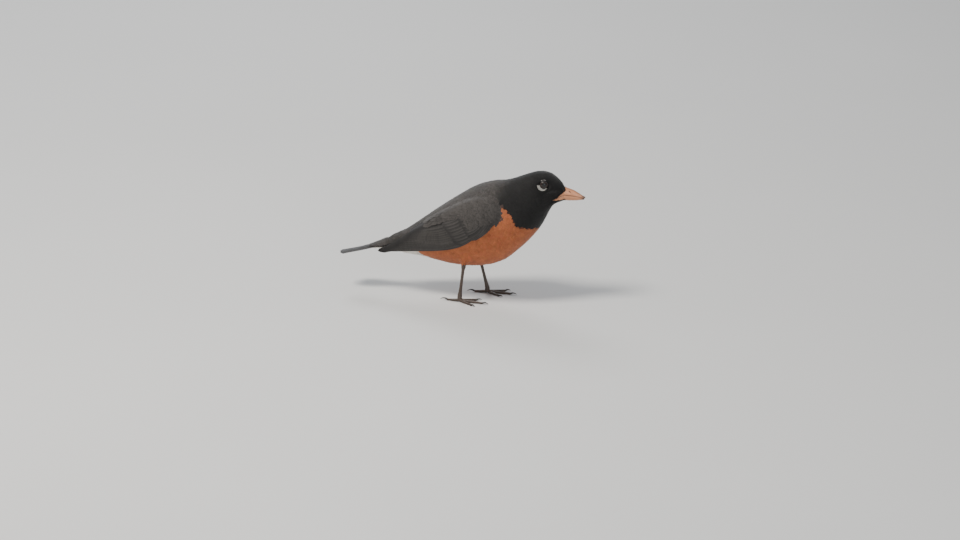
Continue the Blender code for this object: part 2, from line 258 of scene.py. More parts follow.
def finished(bm, name):
    """A new mesh from a bmesh, which ends with it."""
    mesh = bpy.data.meshes.new(name)
    bm.to_mesh(mesh)
    bm.free()
    return mesh


def take_in(bm, mesh):
    """Adds a mesh to a bmesh, which it becomes part of."""
    bm.from_mesh(mesh)
    bpy.data.meshes.remove(mesh)


def laid_grid(name, rows, columns, place):
    """A mesh from a grid of rows and columns, laid by place(row share, column share) in
    millimetres. Its seams are welded and its ends closed."""
    bm = bmesh.new()
    bmesh.ops.create_grid(bm, x_segments=rows, y_segments=columns, size=0.5)
    for vert in bm.verts:
        vert.co = Vector(place(vert.co.x + 0.5, vert.co.y + 0.5)) * MM
    bmesh.ops.remove_doubles(bm, verts=bm.verts, dist=0.001 * MM)
    bmesh.ops.holes_fill(bm, edges=bm.edges)
    bmesh.ops.recalc_face_normals(bm, faces=bm.faces)
    mesh = finished(bm, name)
    mesh.shade_smooth()
    return mesh


def rows_to_mesh(name, points, template, vane_maps, bake_maps, colours, mirrored=False):
    """One mesh of many copies of a template's faces. points is copies x template points x 3."""
    copies, size = points.shape[:2]
    mesh = bpy.data.meshes.new(name)
    mesh.vertices.add(copies * size)
    mesh.vertices.foreach_set("co", (points * MM).astype(np.float32).ravel())
    loops = (template.loops + np.arange(copies)[:, None] * size).astype(np.int32).ravel()
    mesh.loops.add(len(loops))
    mesh.loops.foreach_set("vertex_index", loops)
    starts = template.starts + np.arange(copies)[:, None] * len(template.loops)
    mesh.polygons.add(starts.size)
    mesh.polygons.foreach_set("loop_start", starts.astype(np.int32).ravel())
    mesh.update(calc_edges=True)
    mesh.shade_smooth()
    mesh.set_sharp_from_angle(angle=math.radians(70))
    for layer_name, places in (("vane", vane_maps), ("OFBake", bake_maps)):
        layer = mesh.uv_layers.new(name=layer_name)
        on_loops = places[:, template.loops].astype(np.float32)
        layer.data.foreach_set("uv", on_loops.ravel())
    paint_points(mesh, "plumage", colours.reshape(-1, 3))
    if mirrored:
        mesh.flip_normals()
    return mesh


# Landmarks ----------------------------------------------------------------------------------------
def rear_of_bill():
    """Middle of the bill's base, at the height where its halves meet."""
    upper, lower = corners_of("bill_upper"), corners_of("bill_lower")
    both = np.concatenate([upper, lower])
    ahead = both @ FORWARD
    middle = both[ahead < ahead.min() + 0.3].mean(0)
    lower_ring = lower[lower @ FORWARD < ahead.min() + 0.3]
    return np.array((middle[0], middle[1], lower_ring[:, 2].max()))


Axes = namedtuple("Axes", "outward forward up")


def eye_axes(side):
    """The way an eye looks, with the forward and up directions square to it."""
    outward = unit(SIDEWAYS * side + FORWARD * 0.22 + UP * 0.07)
    forward = unit(FORWARD - outward * (FORWARD @ outward))
    return Axes(outward, forward, np.cross(forward, outward) * side)


def top_of_shank(name):
    points = corners_of("shank_" + name)
    return points[points[:, 2] > points[:, 2].max() - 0.2].mean(0)


EYES = {name: centre_of("eye_" + name) for name in SIDES}
EYE_AXES = {name: eye_axes(side) for name, side in SIDES.items()}
EYE_RADIUS = np.ptp(corners_of("eye_right")[:, 2]) / 2
LID_RADIUS = 3.1
DISH = 2.55  # height of the feathers round an eye above its centre
DISH_FLAT, DISH_REACH, DISH_RISE = 4.4, 9.0, 0.75  # its level radius, its rim and its slope
MOUTH_HALF, MOUTH_SPREAD = 4.3, 0.24  # half width of the face at the bill, and its growth behind
BILL_BASE = rear_of_bill()
ANKLES = {name: top_of_shank(name) for name in SIDES}


# Edges of the bare horn beside the mouth and the slit between them: heights over the bill's base
# at distances ahead of it, from the corner of the mouth to where the bill starts.
GAPE_AHEAD = (-9.9, -6.5, -3.5, 0.5)
GAPE_TOP = (-4.1, -2.6, 0.3, 3.6)
GAPE_SLIT = (-4.25, -3.2, -1.3, -0.1)
GAPE_BOTTOM = (-4.5, -4.6, -4.4, -4.1)
GAPE_FRONT = 1.0  # how far ahead of the bill's base the horn runs in under it


def round_eye(places, name):
    """(distance from the eye's axis, angle round it in degrees, height along it) of each place.
    The angle is 0 ahead of the eye and 90 above it."""
    away = places - EYES[name]
    axes = EYE_AXES[name]
    ahead, up = away @ axes.forward, away @ axes.up
    return np.hypot(ahead, up), np.degrees(np.arctan2(up, ahead)), away @ axes.outward


# The form that the coat lies on -------------------------------------------------------------------
TAIL_FROM = -73.0  # the tail's thin end past here takes no part in the form
VOXEL = 1.05
LAST_TURNS = 3  # turns of smoothing that come after the eyes' dishes and the mouth are shaped


def swollen_copy(node, swell):
    """A CAD node's mesh, welded and with its faces moved out by swell. The tail's is cut short."""
    piece = bmesh.new()
    piece.from_mesh(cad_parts[node].data)
    bmesh.ops.remove_doubles(piece, verts=piece.verts, dist=0.002 * MM)
    piece.normal_update()
    for vert in piece.verts:
        vert.co += vert.normal * swell * MM
    if node == "tail":
        everything = piece.verts[:] + piece.edges[:] + piece.faces[:]
        plane = {"plane_co": (TAIL_FROM * MM, 0, 0), "plane_no": (-1, 0, 0)}
        bmesh.ops.bisect_plane(piece, geom=everything, clear_outer=True, **plane)
        bmesh.ops.holes_fill(piece, edges=piece.edges)
    return finished(piece, node + "_copy")


def remeshed(rough):
    """One closed surface of even faces round the solids of a mesh, which it takes the place of."""
    holder = bpy.data.objects.new(rough.name, rough)
    bpy.context.scene.collection.objects.link(holder)
    remesh = holder.modifiers.new("Remesh", "REMESH")
    remesh.mode = "VOXEL"
    remesh.voxel_size = VOXEL * MM
    graph = bpy.context.evaluated_depsgraph_get()
    mesh = bpy.data.meshes.new_from_object(holder.evaluated_get(graph))
    bpy.data.objects.remove(holder)
    bpy.data.meshes.remove(rough)
    return mesh


def joined_form(name, nodes, smoothing, swell):
    """One smooth closed surface round several CAD nodes that are swollen a little, as a mesh."""
    bm = bmesh.new()
    for node in nodes:
        take_in(bm, swollen_copy(node, swell))
    mesh = remeshed(finished(bm, name))
    bm = bmesh.new()
    bm.from_mesh(mesh)
    for turn in range(smoothing):
        bmesh.ops.smooth_vert(
            bm, verts=bm.verts, factor=0.5, use_axis_x=True, use_axis_y=True, use_axis_z=True
        )
        if turn == smoothing - LAST_TURNS:
            for vert in bm.verts:
                sink_by_eye(vert)
                narrow_by_mouth(vert)
    bm.to_mesh(mesh)
    bm.free()
    return mesh


def sink_by_eye(vert):
    """Lowers a point of the form into the shallow dish that each eye sits in."""
    for name in SIDES:
        outward = Vector(EYE_AXES[name].outward)
        away = vert.co / MM - Vector(EYES[name])
        height = away.dot(outward)
        reach = (away - outward * height).length
        if height > 0 and reach < DISH_REACH:
            limit = DISH + max(0.0, reach - DISH_FLAT) * DISH_RISE
            vert.co -= outward * max(0.0, height - limit) * MM


def narrow_by_mouth(vert):
    """Draws a point of the form in towards the bill, so that the face tapers into the mouth."""
    away = vert.co / MM - Vector(BILL_BASE)
    ahead, beside = away.dot(Vector(FORWARD)), away.dot(Vector(SIDEWAYS))
    share = ramp(ahead, -20, -8) * ramp(-away.z, -6, -1) * ramp(away.z, -13, -7)
    excess = abs(beside) - (MOUTH_HALF + MOUTH_SPREAD * max(0.0, -ahead))
    if excess > 0:
        vert.co -= Vector(SIDEWAYS) * math.copysign(excess * 0.85 * share, beside) * MM


class Form:
    """A surface that finds the nearest place on it and the smooth normal there, for many points."""

    def __init__(self, mesh):
        self.mesh = mesh
        self.points = points_of(mesh)
        mesh.calc_loop_triangles()
        corners = np.empty(len(mesh.loop_triangles) * 3, np.int32)
        mesh.loop_triangles.foreach_get("vertices", corners)
        self.triangles = corners.reshape(-1, 3)
        ends = self.points[self.triangles]
        self.crossed = np.cross(ends[:, 1] - ends[:, 0], ends[:, 2] - ends[:, 0])
        normals = np.zeros_like(self.points)
        for corner in range(3):
            np.add.at(normals, self.triangles[:, corner], self.crossed)
        self.normals = unit(normals)
        self.tree = BVHTree.FromPolygons(self.points.tolist(), self.triangles.tolist())

    def corners(self, faces):
        return [self.points[self.triangles[faces, corner]] for corner in range(3)]

    def nearest(self, points):
        """(places, normals) on the form nearest to each of the points."""
        found = [self.tree.find_nearest(point) for point in points.tolist()]
        places = np.array([hit[0][:] for hit in found])
        faces = np.array([hit[2] for hit in found])
        return places, self.normal_at(places, faces)

    def normal_at(self, places, faces):
        """Normals shaded smoothly across each triangle."""
        a, b, c = self.corners(faces)
        double = np.maximum((self.crossed[faces] ** 2).sum(1), 1e-12)
        share_b = (np.cross(places - a, c - a) * -self.crossed[faces]).sum(1) / double
        share_c = (np.cross(b - a, places - a) * self.crossed[faces]).sum(1) / double
        shares = np.stack([1 - share_b - share_c, share_b, share_c], 1)
        return unit((self.normals[self.triangles[faces]] * shares[:, :, None]).sum(1))

    def random_places(self, count):
        """(places, normals) spread evenly at random over the form."""
        area = np.linalg.norm(self.crossed, axis=1)
        faces = RNG.choice(len(area), count, p=area / area.sum())
        share = RNG.random((count, 2))
        over = share.sum(1) > 1
        share[over] = 1 - share[over]
        a, b, c = self.corners(faces)
        places = a + (b - a) * share[:, :1] + (c - a) * share[:, 1:]
        return places, self.normal_at(places, faces)


# Markings -----------------------------------------------------------------------------------------
# The hood's rear edge seen from the side: its x at each height.
HOOD_HEIGHTS = (60, 65, 72, 84, 91, 100, 115)
HOOD_EDGE = (84, 74, 58.5, 51.5, 42, 42, 44)


def wing_line(x):
    """Height of the line from the bend of the wing to its tip, which parts back from flank."""
    return 85 + (x - 42) * 0.41


def wavering(places, scale, seed):
    """A smooth irregular number between about -1 and 1 at each place."""
    waves = np.random.default_rng(seed).normal(size=(5, 3)) / scale
    shifts = np.random.default_rng(seed + 1).random(5) * 6.28
    return np.sin(places @ waves.T + shifts).sum(1) / 3


def markings(places, normals):
    """The bird's colour at each place on its outside."""
    x, _, z = places.T
    under = -normals[:, 2]
    uneven = wavering(places, 5.0, 3)
    above = z - wing_line(x)
    # Grey over the wing's line and rust under it
    colour = mixed(MANTLE, RUST, 1 - ramp(above + uneven, -3, 3))
    # The white belly, which starts behind the breast and widens towards the vent
    rear = ramp(-x, 14, 44)
    belly = ramp(under + uneven * 0.08, 0.90 - 0.70 * rear, 1.0 - 0.50 * rear)
    colour = mixed(colour, WHITE, belly * ramp(-x, 2, 18) * ramp(-above, 2, 10))
    # The tail's root, grey on top and white below, and the grey rump ahead of it
    vent = ramp(-x, 40, 50)
    colour = mixed(colour, mixed(RUMP, WHITE, ramp(under, 0.42, 0.72)), vent)
    colour = mixed(colour, RUMP, ramp(-x, 16, 30) * ramp(above, -7, 0))
    # The hood, sharp at the throat and softer on the nape
    past_edge = x - np.interp(z, HOOD_HEIGHTS, HOOD_EDGE) + uneven * 1.2
    softness = 0.8 + 7.7 * ramp(z, 92, 100)
    colour = mixed(colour, SOOT, ramp(past_edge / softness, -1, 1))
    return face_markings(places, under, uneven, colour)


# The white arcs round an eye: middle and half width in degrees round it, and strength
RING_ARCS = ((95, 28, 0.6), (-112, 58, 1.0))


def near_angle(turn, middle, half):
    """1 within half of a middle angle, in degrees, and 0 from 8 degrees further."""
    off = np.abs((turn - middle + 180) % 360 - 180)
    return ramp(half + 8 - off, 0, 8)


def face_markings(places, under, uneven, colour):
    """Adds the streaked chin and the broken white ring round each eye."""
    ahead = (places - BILL_BASE) @ FORWARD
    beside = (places - BILL_BASE) @ SIDEWAYS
    chin = ramp(ahead, -15, -4) * ramp(under, 0.1, 0.45) * ramp(4.2 - np.abs(beside), 0, 1.6)
    streaks = ramp(np.cos(beside * 3.6) + 0.5 * np.cos(ahead * 0.5 + beside) + uneven, -0.1, 0.9)
    colour = mixed(colour, WHITE * 0.4, chin * streaks)
    for name in SIDES:
        reach, turn, height = round_eye(places, name)
        arcs = [near_angle(turn, middle, half) * most for middle, half, most in RING_ARCS]
        # The ring's outer edge is widest below and behind the eye
        outer = 4.3 + 1.6 * np.maximum(np.cos(np.radians(turn + 150)), 0)
        ring = ramp(reach - LID_RADIUS, 0.0, 0.3) * ramp(outer - reach, 0.0, 0.5) * (height > 0)
        colour = mixed(colour, WHITE * 0.9, ring * np.maximum(*arcs))
    return colour


# Lie and size of the coat -------------------------------------------------------------------------
BODY_LIE = np.array((-0.925, 0.0, -0.38))
LEAST_OUTWARD = 0.35  # how much the feathers beside an eye point away from it, at least


def from_bill(places):
    """Distance back from the base of the bill."""
    return np.linalg.norm(places - BILL_BASE, axis=1)


def lie_of_coat(places, normals):
    """The way the feathers point at each place, as unit vectors along the surface."""
    off_bill = unit(places - (BILL_BASE + FORWARD * 5))
    head = ramp(places[:, 0], 48, 70)
    lie = mixed(BODY_LIE, off_bill, head)
    # Down the legs
    for ankle in ANKLES.values():
        beside = np.linalg.norm((places - ankle)[:, :2], axis=1)
        leg = ramp(-beside, -9, -5) * ramp(-places[:, 2], -42, -37)
        lie = mixed(lie, np.array((-0.25, 0.0, -1.0)), leg)
    # Round each eye, so that few tips point in over its lids
    for name in SIDES:
        reach, turn, height = round_eye(places, name)
        turn = np.radians(turn)[:, None]
        spoke = EYE_AXES[name].forward * np.cos(turn) + EYE_AXES[name].up * np.sin(turn)
        short_of = np.minimum((lie * spoke).sum(1), LEAST_OUTWARD) - LEAST_OUTWARD
        close = ramp(-reach, -DISH_REACH, -4.8) * (height > 0)
        lie = lie - spoke * (short_of * close)[:, None]
    lie = lie - normals * (lie * normals).sum(1)[:, None]
    return unit(lie)


def beside_ankles(places, far, near):
    """1 on the feathered part of a leg and 0 beyond it."""
    share = np.zeros(len(places))
    for ankle in ANKLES.values():
        beside = np.linalg.norm((places - ankle)[:, :2], axis=1)
        share = np.maximum(share, ramp(-beside, -far, -near) * ramp(-places[:, 2], -44, -37))
    return share


def feather_length(places):
    """How long a body feather is at each place."""
    back = from_bill(places)
    length = np.interp(back, (0, 6, 16, 30, 50, 80, 130), (1.6, 2.2, 3.6, 5.2, 8.0, 10.0, 11.0))
    near_eye = np.ones(len(places))
    for name in SIDES:
        reach, _, height = round_eye(places, name)
        near_eye = np.where(height > 0, np.minimum(near_eye, ramp(reach, 3.0, 12.0)), near_eye)
    # Shorter round the eyes, at the root of the tail and on the legs
    length = length * (0.30 + 0.70 * near_eye)
    return (length - 4.8 * ramp(-places[:, 0], 42, 60)) * (1 - 0.55 * beside_ankles(places, 9, 4))


def coat_depth(places):
    """How far the skin lies under the outside of the coat."""
    back = from_bill(places)
    depth = np.interp(back, (0, 10, 30, 60, 90), (0.35, 0.55, 0.9, 1.2, 1.3))
    return depth * (1 - 0.5 * beside_ankles(places, 8, 4))


def spread_apart(places, gaps):
    """Indices of places kept so that neighbours are at least about their gap apart. Places with
    like gaps share a grid, whose cells are at least as wide as the gaps."""
    level = np.floor(np.log2(gaps))
    cell = 2.0 ** (level + 1)
    keys = np.floor(places / cell[:, None]).astype(int)
    kept, grid = [], {}
    near = [(i, j, k) for i in (-1, 0, 1) for j in (-1, 0, 1) for k in (-1, 0, 1)]
    for index, (place, gap, size, key) in enumerate(
        zip(places.tolist(), (gaps**2).tolist(), level.tolist(), keys.tolist())
    ):
        x, y, z = place
        i, j, k = key
        close = (
            (x - other[0]) ** 2 + (y - other[1]) ** 2 + (z - other[2]) ** 2 < gap
            for di, dj, dk in near
            for other in grid.get((size, i + di, j + dj, k + dk), ())
        )
        if not any(close):
            grid.setdefault((size, i, j, k), []).append(place)
            kept.append(index)
    return np.array(kept)


# Vanes --------------------------------------------------------------------------------------------
class Vane:
    """A feather's mesh in its own terms: each point's share along it and its place across, from
    -1 to 1. The top is a grid, and a ladder from rim to rim closes it underneath."""

    def __init__(self, steps, strands):
        bm = bmesh.new()
        bmesh.ops.create_grid(bm, x_segments=steps, y_segments=strands, size=0.5)
        rims = [edge for edge in bm.edges if all(abs(vert.co.y) > 0.499 for vert in edge.verts)]
        top = bm.faces[:]
        bmesh.ops.bridge_loops(bm, edges=rims)
        bmesh.ops.holes_fill(bm, edges=bm.edges, sides=strands + 2)
        bmesh.ops.recalc_face_normals(bm, faces=bm.faces)
        if top[0].normal.z < 0:
            bmesh.ops.reverse_faces(bm, faces=bm.faces)
        self.strands = strands
        self.along = np.array([vert.co.x + 0.5 for vert in bm.verts])
        self.across = np.array([vert.co.y * 2 for vert in bm.verts])
        self.strand = np.round((self.across + 1) / 2 * strands).astype(int)
        self.loops = np.array([vert.index for face in bm.faces for vert in face.verts])
        sizes = np.array([len(face.verts) for face in bm.faces])
        self.starts = np.concatenate([[0], np.cumsum(sizes)[:-1]])
        self.triangles = int((sizes - 2).sum())
        bm.free()


BODY_VANE = Vane(4, 12)
FACE_VANE = Vane(3, 6)
QUILL_VANE = Vane(20, 8)
SHORT_SHARES = np.linspace(0, 1, 6)  # points of a short vane's centre line
LONG_SHARES = np.linspace(0, 1, 21)  # points of a quill's
SEEN_AT = 3  # the point of a short vane's centre line where it shows most

# What a batch of vanes is like. round_off is how much the sides fall short of the tip, notch how
# ragged the tip is, droop how far the sides bend down and roll how far the lower side is raised,
# both for each unit of half width. Past widest the vane narrows to tip_width.
Cut = namedtuple("Cut", "round_off notch droop roll thick widest tip_width")
BODY_CUT = Cut(0.28, 0.08, 0.045, 0.0, 0.085, 0.55, 0.80)
FLIGHT_CUT = Cut(0.045, 0.0, 0.0, 0.12, 0.09, 0.25, 0.55)
COVERT_CUT = Cut(0.15, 0.02, 0.02, 0.13, 0.10, 0.50, 0.86)
TAIL_CUT = Cut(0.06, 0.0, 0.02, 0.0, 0.11, 0.70, 0.92)
TAIL_COVERT_CUT = Cut(0.20, 0.04, 0.16, 0.0, 0.12, 0.55, 0.75)
BRISTLE_CUT = Cut(0.0, 0.0, 0.0, 0.0, 0.14, 0.20, 0.15)


def lay_vanes(vane, centres, ups, half_widths, cut):
    """Points of many vanes. centres and ups are vanes x stations x 3, along each centre line."""
    count = len(centres)
    # Each point's share of the length: the tip is ragged, and rounded off at its sides
    fringe = RNG.uniform(-1.0, 0.25, (count, vane.strands + 1)) * cut.notch
    fringe[:, 1::2] -= cut.notch * 0.8
    fringe *= 1 - 0.7 * np.linspace(-1, 1, vane.strands + 1) ** 2
    reach = 1 - cut.round_off * vane.across**2
    share = vane.along * reach + fringe[:, vane.strand] * vane.along**5
    # The centre line there, with the ways up, along and across
    at = np.clip(share, 0, 1) * (centres.shape[1] - 1)
    low = np.minimum(at.astype(int), centres.shape[1] - 2)
    part = (at - low)[..., None]
    rows = np.arange(count)[:, None]
    centre = centres[rows, low] * (1 - part) + centres[rows, low + 1] * part
    up = unit(ups[rows, low] * (1 - part) + ups[rows, low + 1] * part)
    heading = np.gradient(centres, axis=1)
    heading = heading[rows, low] * (1 - part) + heading[rows, low + 1] * part
    side = unit(np.cross(up, heading))
    # Half the width, which grows from the root to the widest place and narrows to the tip
    grown = np.clip(share / cut.widest, 0, 1)
    width = 0.28 + 0.72 * np.sin(grown * math.pi / 2)
    past = np.clip((share - cut.widest) / (1 - cut.widest), 0, 1)
    width = (width - (1 - cut.tip_width) * past**2) * half_widths[:, None]
    offset = (vane.across * width)[..., None]
    # Height over the centre line: thickest in the middle and thin at the rim
    crown = cut.thick * (1 - vane.across**2)
    crown = crown * (0.35 + 0.65 * np.sin(math.pi * np.clip(share, 0, 1)))
    crown = crown * np.clip(half_widths / 1.2, 0.35, 1.0)[:, None]
    height = crown - cut.droop * width * vane.across**2 - cut.roll * width * vane.across
    return centre + side * offset + up * height[..., None]


def steady(outward):
    """One way out from the surface for all of a short vane's centre line."""
    return np.broadcast_to(outward, (len(SHORT_SHARES), 3))


def vane_map(vane, count):
    """The vanes' own map: along from root to tip, and across with the shaft at one half."""
    place = np.stack([vane.along, vane.across / 2 + 0.5], 1)
    return np.broadcast_to(place, (count, *place.shape))


# The middle line of tail, trunk and head: its height at each x.
MIDDLE_X = (-62, -38, -3, 28, 59, 90)
MIDDLE_HEIGHT = (42, 48, 60, 77, 95, 97)
PATCH = 0.003  # size of a vane on the bake map


def root_map(vane, places):
    """The bake map: each vane is a small patch where its root is on the skin, unrolled from tail
    to bill and round from the back."""
    x, y, z = places.T
    turn = np.arctan2(y, z - np.interp(x, MIDDLE_X, MIDDLE_HEIGHT)) / (2 * math.pi)
    unrolled = np.stack([(x + 95) / 200, turn + 0.5], 1) * 0.99
    patch = vane_map(vane, len(places)) * PATCH
    return unrolled[:, None, :] + patch


# Body coat ----------------------------------------------------------------------------------------
MOST_TRIANGLES = 190000  # in one piece
SKIN_GAP = 0.15  # between the roots and the skin under them
COAT_GAP_FACE, COAT_GAP_BODY = 0.225, 0.150  # distance between roots, as a share of the length
CANDIDATES = 260000  # places to choose roots from
FACE_REACH, NAPE_REACH = 19, 30  # how far back from the bill the smallest feathers grow
LAST_ROOTS = -63  # x of the last roots, where the tail's quills leave the coat
WING_TUCK = 6.0  # how far in under a wing the body feathers run


def follow(form, roots, normals, lengths, lie, wander):
    """Centre lines of vanes from their roots along the lie of the coat: places and normals."""
    heading = lie(roots, normals)
    turn = RNG.normal(0, wander, len(roots))[:, None]
    heading = unit(heading + np.cross(normals, heading) * turn)
    places, ups = [roots], [normals]
    steps = len(SHORT_SHARES) - 1
    for _ in range(steps):
        ahead = places[-1] + heading * (lengths / steps)[:, None]
        place, up = form.nearest(ahead)
        moved = unit(place - places[-1])
        wanted = lie(place, up)
        turned = unit(wanted + np.cross(up, wanted) * turn)
        # Mostly straight on, and partly round towards the coat's lie there
        heading = moved * 0.6 + turned * 0.4
        heading = unit(heading - up * (heading * up).sum(1)[:, None])
        places.append(place)
        ups.append(up)
    return np.stack(places, 1), np.stack(ups, 1)


def grow_coat(vane, form, roots, normals, lengths, width_share, depth, lift, lie, wander):
    """Vanes for roots on the form: their points and the places that show most. Each starts under
    the surface and rises to lift at its tip, so that it lies over the vanes behind it."""
    lengths = lengths * RNG.uniform(0.86, 1.14, len(roots))
    centres, ups = follow(form, roots, normals, lengths, lie, wander)
    seen = centres[:, SEEN_AT], ups[:, SEEN_AT]
    rise = lift[:, None] * SHORT_SHARES**2 - depth[:, None] * (1 - SHORT_SHARES) ** 1.25
    centres = centres + ups * rise[..., None]
    half_widths = lengths * width_share * RNG.uniform(0.85, 1.15, len(roots)) / 2
    return lay_vanes(vane, centres, ups, half_widths, BODY_CUT), seen


def tones(count, spread, most):
    """How bright each vane is: uneven by spread, and never by more than most."""
    return RNG.normal(1.0, spread, (count, 1)).clip(1 - most, 1 + most)


def along_vane(vane, base, fringe=0.12):
    """Colours for each point of vanes: darker at the root and paler at the fringe."""
    shade = 0.55 + 0.45 * ramp(vane.along, 0.1, 0.75)
    edge = fringe * ramp(vane.along, 0.80, 1.0) + 0.05 * ramp(np.abs(vane.across), 0.6, 1.0)
    return base[:, None, :] * (shade + edge)[None, :, None]


def coat_colours(vane, seen):
    """Colours of body vanes: the marking where each shows, a little uneven from vane to vane."""
    base = markings(*seen)
    size = len(base)
    base = base * tones(size, 0.07, 0.2)
    return along_vane(vane, base * (1 + RNG.normal(0, 0.03, (size, 3))))


def show_vanes(name, vane, points, roots, colours, material):
    """Makes one or more pieces of small vanes."""
    parts = -(-len(points) * vane.triangles // MOST_TRIANGLES)
    vanes, maps = vane_map(vane, len(points)), root_map(vane, roots)
    for number, rows in enumerate(np.array_split(np.arange(len(points)), parts), 1):
        label = name + (f"_{number}" if parts > 1 else "")
        mesh = rows_to_mesh(label, points[rows], vane, vanes[rows], maps[rows], colours[rows])
        show(label, mesh, material)


def zone_of(places, normals):
    """The name of the part of the coat that each place belongs to."""
    x, _, z = places.T
    zone = np.full(len(places), "back", dtype=object)
    below = z < wing_line(x)
    zone[below] = "flank"
    zone[below & (x > 22)] = "breast"
    zone[(normals[:, 2] < -0.55) & (x < 22)] = "belly"
    zone[x < -45] = "tail_coverts"
    zone[(x > 40) & (z > np.interp(x, (40, 75), (92, 62)))] = "neck"
    zone[from_bill(places) < NAPE_REACH] = "nape"
    zone[from_bill(places) < FACE_REACH] = "face"
    return zone


def bare(places):
    """Places that grow no feathers: the eye, the bill's seat, the legs and the tail's quills."""
    nothing = places[:, 0] < LAST_ROOTS
    for name in SIDES:
        reach, _, height = round_eye(places, name)
        nothing |= (reach < LID_RADIUS + 0.15) & (height > 0)
    seat = places - BILL_BASE
    ahead = seat @ FORWARD
    beside = np.linalg.norm(seat - ahead[:, None] * FORWARD, axis=1)
    nothing |= (ahead > 0.3) & (beside < 5.2)
    horn = seat[:, 2] < np.interp(ahead, GAPE_AHEAD, GAPE_TOP)
    horn &= seat[:, 2] > np.interp(ahead, GAPE_AHEAD, GAPE_BOTTOM)
    nothing |= horn & (ahead > GAPE_AHEAD[0]) & (np.abs(seat @ SIDEWAYS) > 2.5)
    for ankle in ANKLES.values():
        below = places[:, 2] < ankle[2] + 0.3
        nothing |= below & (np.linalg.norm((places - ankle)[:, :2], axis=1) < 5)
    return nothing


def body_coat(form, wings, material):
    """All feathers that grow on the body."""
    places, normals = form.random_places(CANDIDATES)
    keep = ~bare(places)
    for wing in wings.values():
        keep &= ~wing.covers(places, WING_TUCK)
    places, normals = places[keep], normals[keep]
    gap = np.interp(from_bill(places), (15, 45), (COAT_GAP_FACE, COAT_GAP_BODY))
    chosen = spread_apart(places, feather_length(places) * gap)
    chosen = chosen[np.argsort(places[chosen, 0], kind="stable")]
    places, normals = places[chosen], normals[chosen]
    zones = zone_of(places, normals)
    for zone in sorted(set(zones)):
        vane = FACE_VANE if zone in ("face", "nape") else BODY_VANE
        roots, ups = places[zones == zone], normals[zones == zone]
        lengths, depth = feather_length(roots), coat_depth(roots)
        lift = RNG.normal(0.04, 0.035, len(roots)) * depth
        widths = np.interp(from_bill(roots), (0, 20, 60, 130), (0.46, 0.46, 0.50, 0.46))
        points, seen = grow_coat(
            vane, form, roots, ups, lengths, widths, depth, lift, lie_of_coat, 0.10
        )
        colours = coat_colours(vane, seen)
        show_vanes(zone + "_feathers", vane, points, roots, colours, material)


# Groups of shoulder feathers: length at the bend of the wing and 30 behind it, gap between roots,
# depth of the roots and tone over the mantle's, a painted highlight on the shoulder.
SHOULDER_GROUPS = {
    "marginal_coverts_": ((3.4, 4.4), 0.85, 0.45, 1.12),
    "lesser_coverts_": ((4.6, 7.6), 1.45, 0.9, 1.12),
    "scapulars_": ((9.0, 10.5), 1.6, 1.0, 1.08),
}


def shoulder_coat(side_name, wing, full_form, material):
    """Marginal coverts round the bend of a wing, lesser coverts behind them, and scapulars that
    drape from the back over both."""
    places, normals = full_form.random_places(CANDIDATES // 3)
    on_side = places[:, 1] * wing.side > 4
    places, normals = places[on_side], normals[on_side]
    s, t = wing.plan(places)
    off = places[:, 1] * wing.side - wing.chart.inner(s, t)
    over = (off > 0.3) & (t < wing.upper(s) + 1.0) & (t > wing.lower(s) - 1.5)
    lesser = over & (s > -2.5) & (s < 25 + 0.30 * t)
    rim = (off > -2.5) & (s > -3.5) & (s < 4.5)
    rim &= (t < wing.upper(s) + 1.0) & (t > wing.lower(s) - 2.0)
    from_edge = t - wing.upper(np.clip(s, 6, 200))
    # The scapulars hang less far down towards the rump, and their lowest row is tucked in
    drape = 7.0 - 3.5 * ramp(s, 25, 60)
    scapular = (s > -6) & (s < 62) & (from_edge > -drape) & (from_edge < 6.0)
    scapular &= normals[:, 2] > 0
    tucked = 0.8 * ramp(-from_edge - drape, -4.0, -0.5) * scapular

    def down_wing(spots, ups):
        lie = np.broadcast_to(WING_ALONG - WING_UP * 0.16, spots.shape)
        return unit(lie - ups * (lie * ups).sum(1)[:, None])

    zones = {"marginal_coverts_": rim, "lesser_coverts_": lesser, "scapulars_": scapular}
    for label, (size, gap, deep, tone) in SHOULDER_GROUPS.items():
        zone = zones[label]
        chosen = np.flatnonzero(zone)[spread_apart(places[zone], np.full(zone.sum(), gap))]
        roots, ups = places[chosen], normals[chosen]
        lengths = np.interp(wing.plan(roots)[0], (0, 30), size)
        count = len(roots)
        lift = RNG.normal(0.05, 0.04, count) - tucked[chosen]
        depth = np.full(count, deep)
        points, _ = grow_coat(
            BODY_VANE, full_form, roots, ups, lengths, 0.60, depth, lift, down_wing, 0.08
        )
        # The tone lightens the mantle's colour as a painted highlight where light falls on the
        # shoulder.
        colours = along_vane(BODY_VANE, MANTLE * tone * tones(count, 0.08, 0.2), 0.30)
        show_vanes(label + side_name, BODY_VANE, points, roots, colours, material)


def make_skin(form, material):
    """The bird's skin, under the coat by its depth."""
    mesh = form.mesh.copy()
    sunk = form.points - form.normals * (coat_depth(form.points) + SKIN_GAP)[:, None]
    move_points(mesh, sunk)
    paint_points(mesh, "plumage", markings(form.points, form.normals))
    made = show("skin", mesh, material)
    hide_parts("trunk", "neck", "head", "thigh_left", "thigh_right")


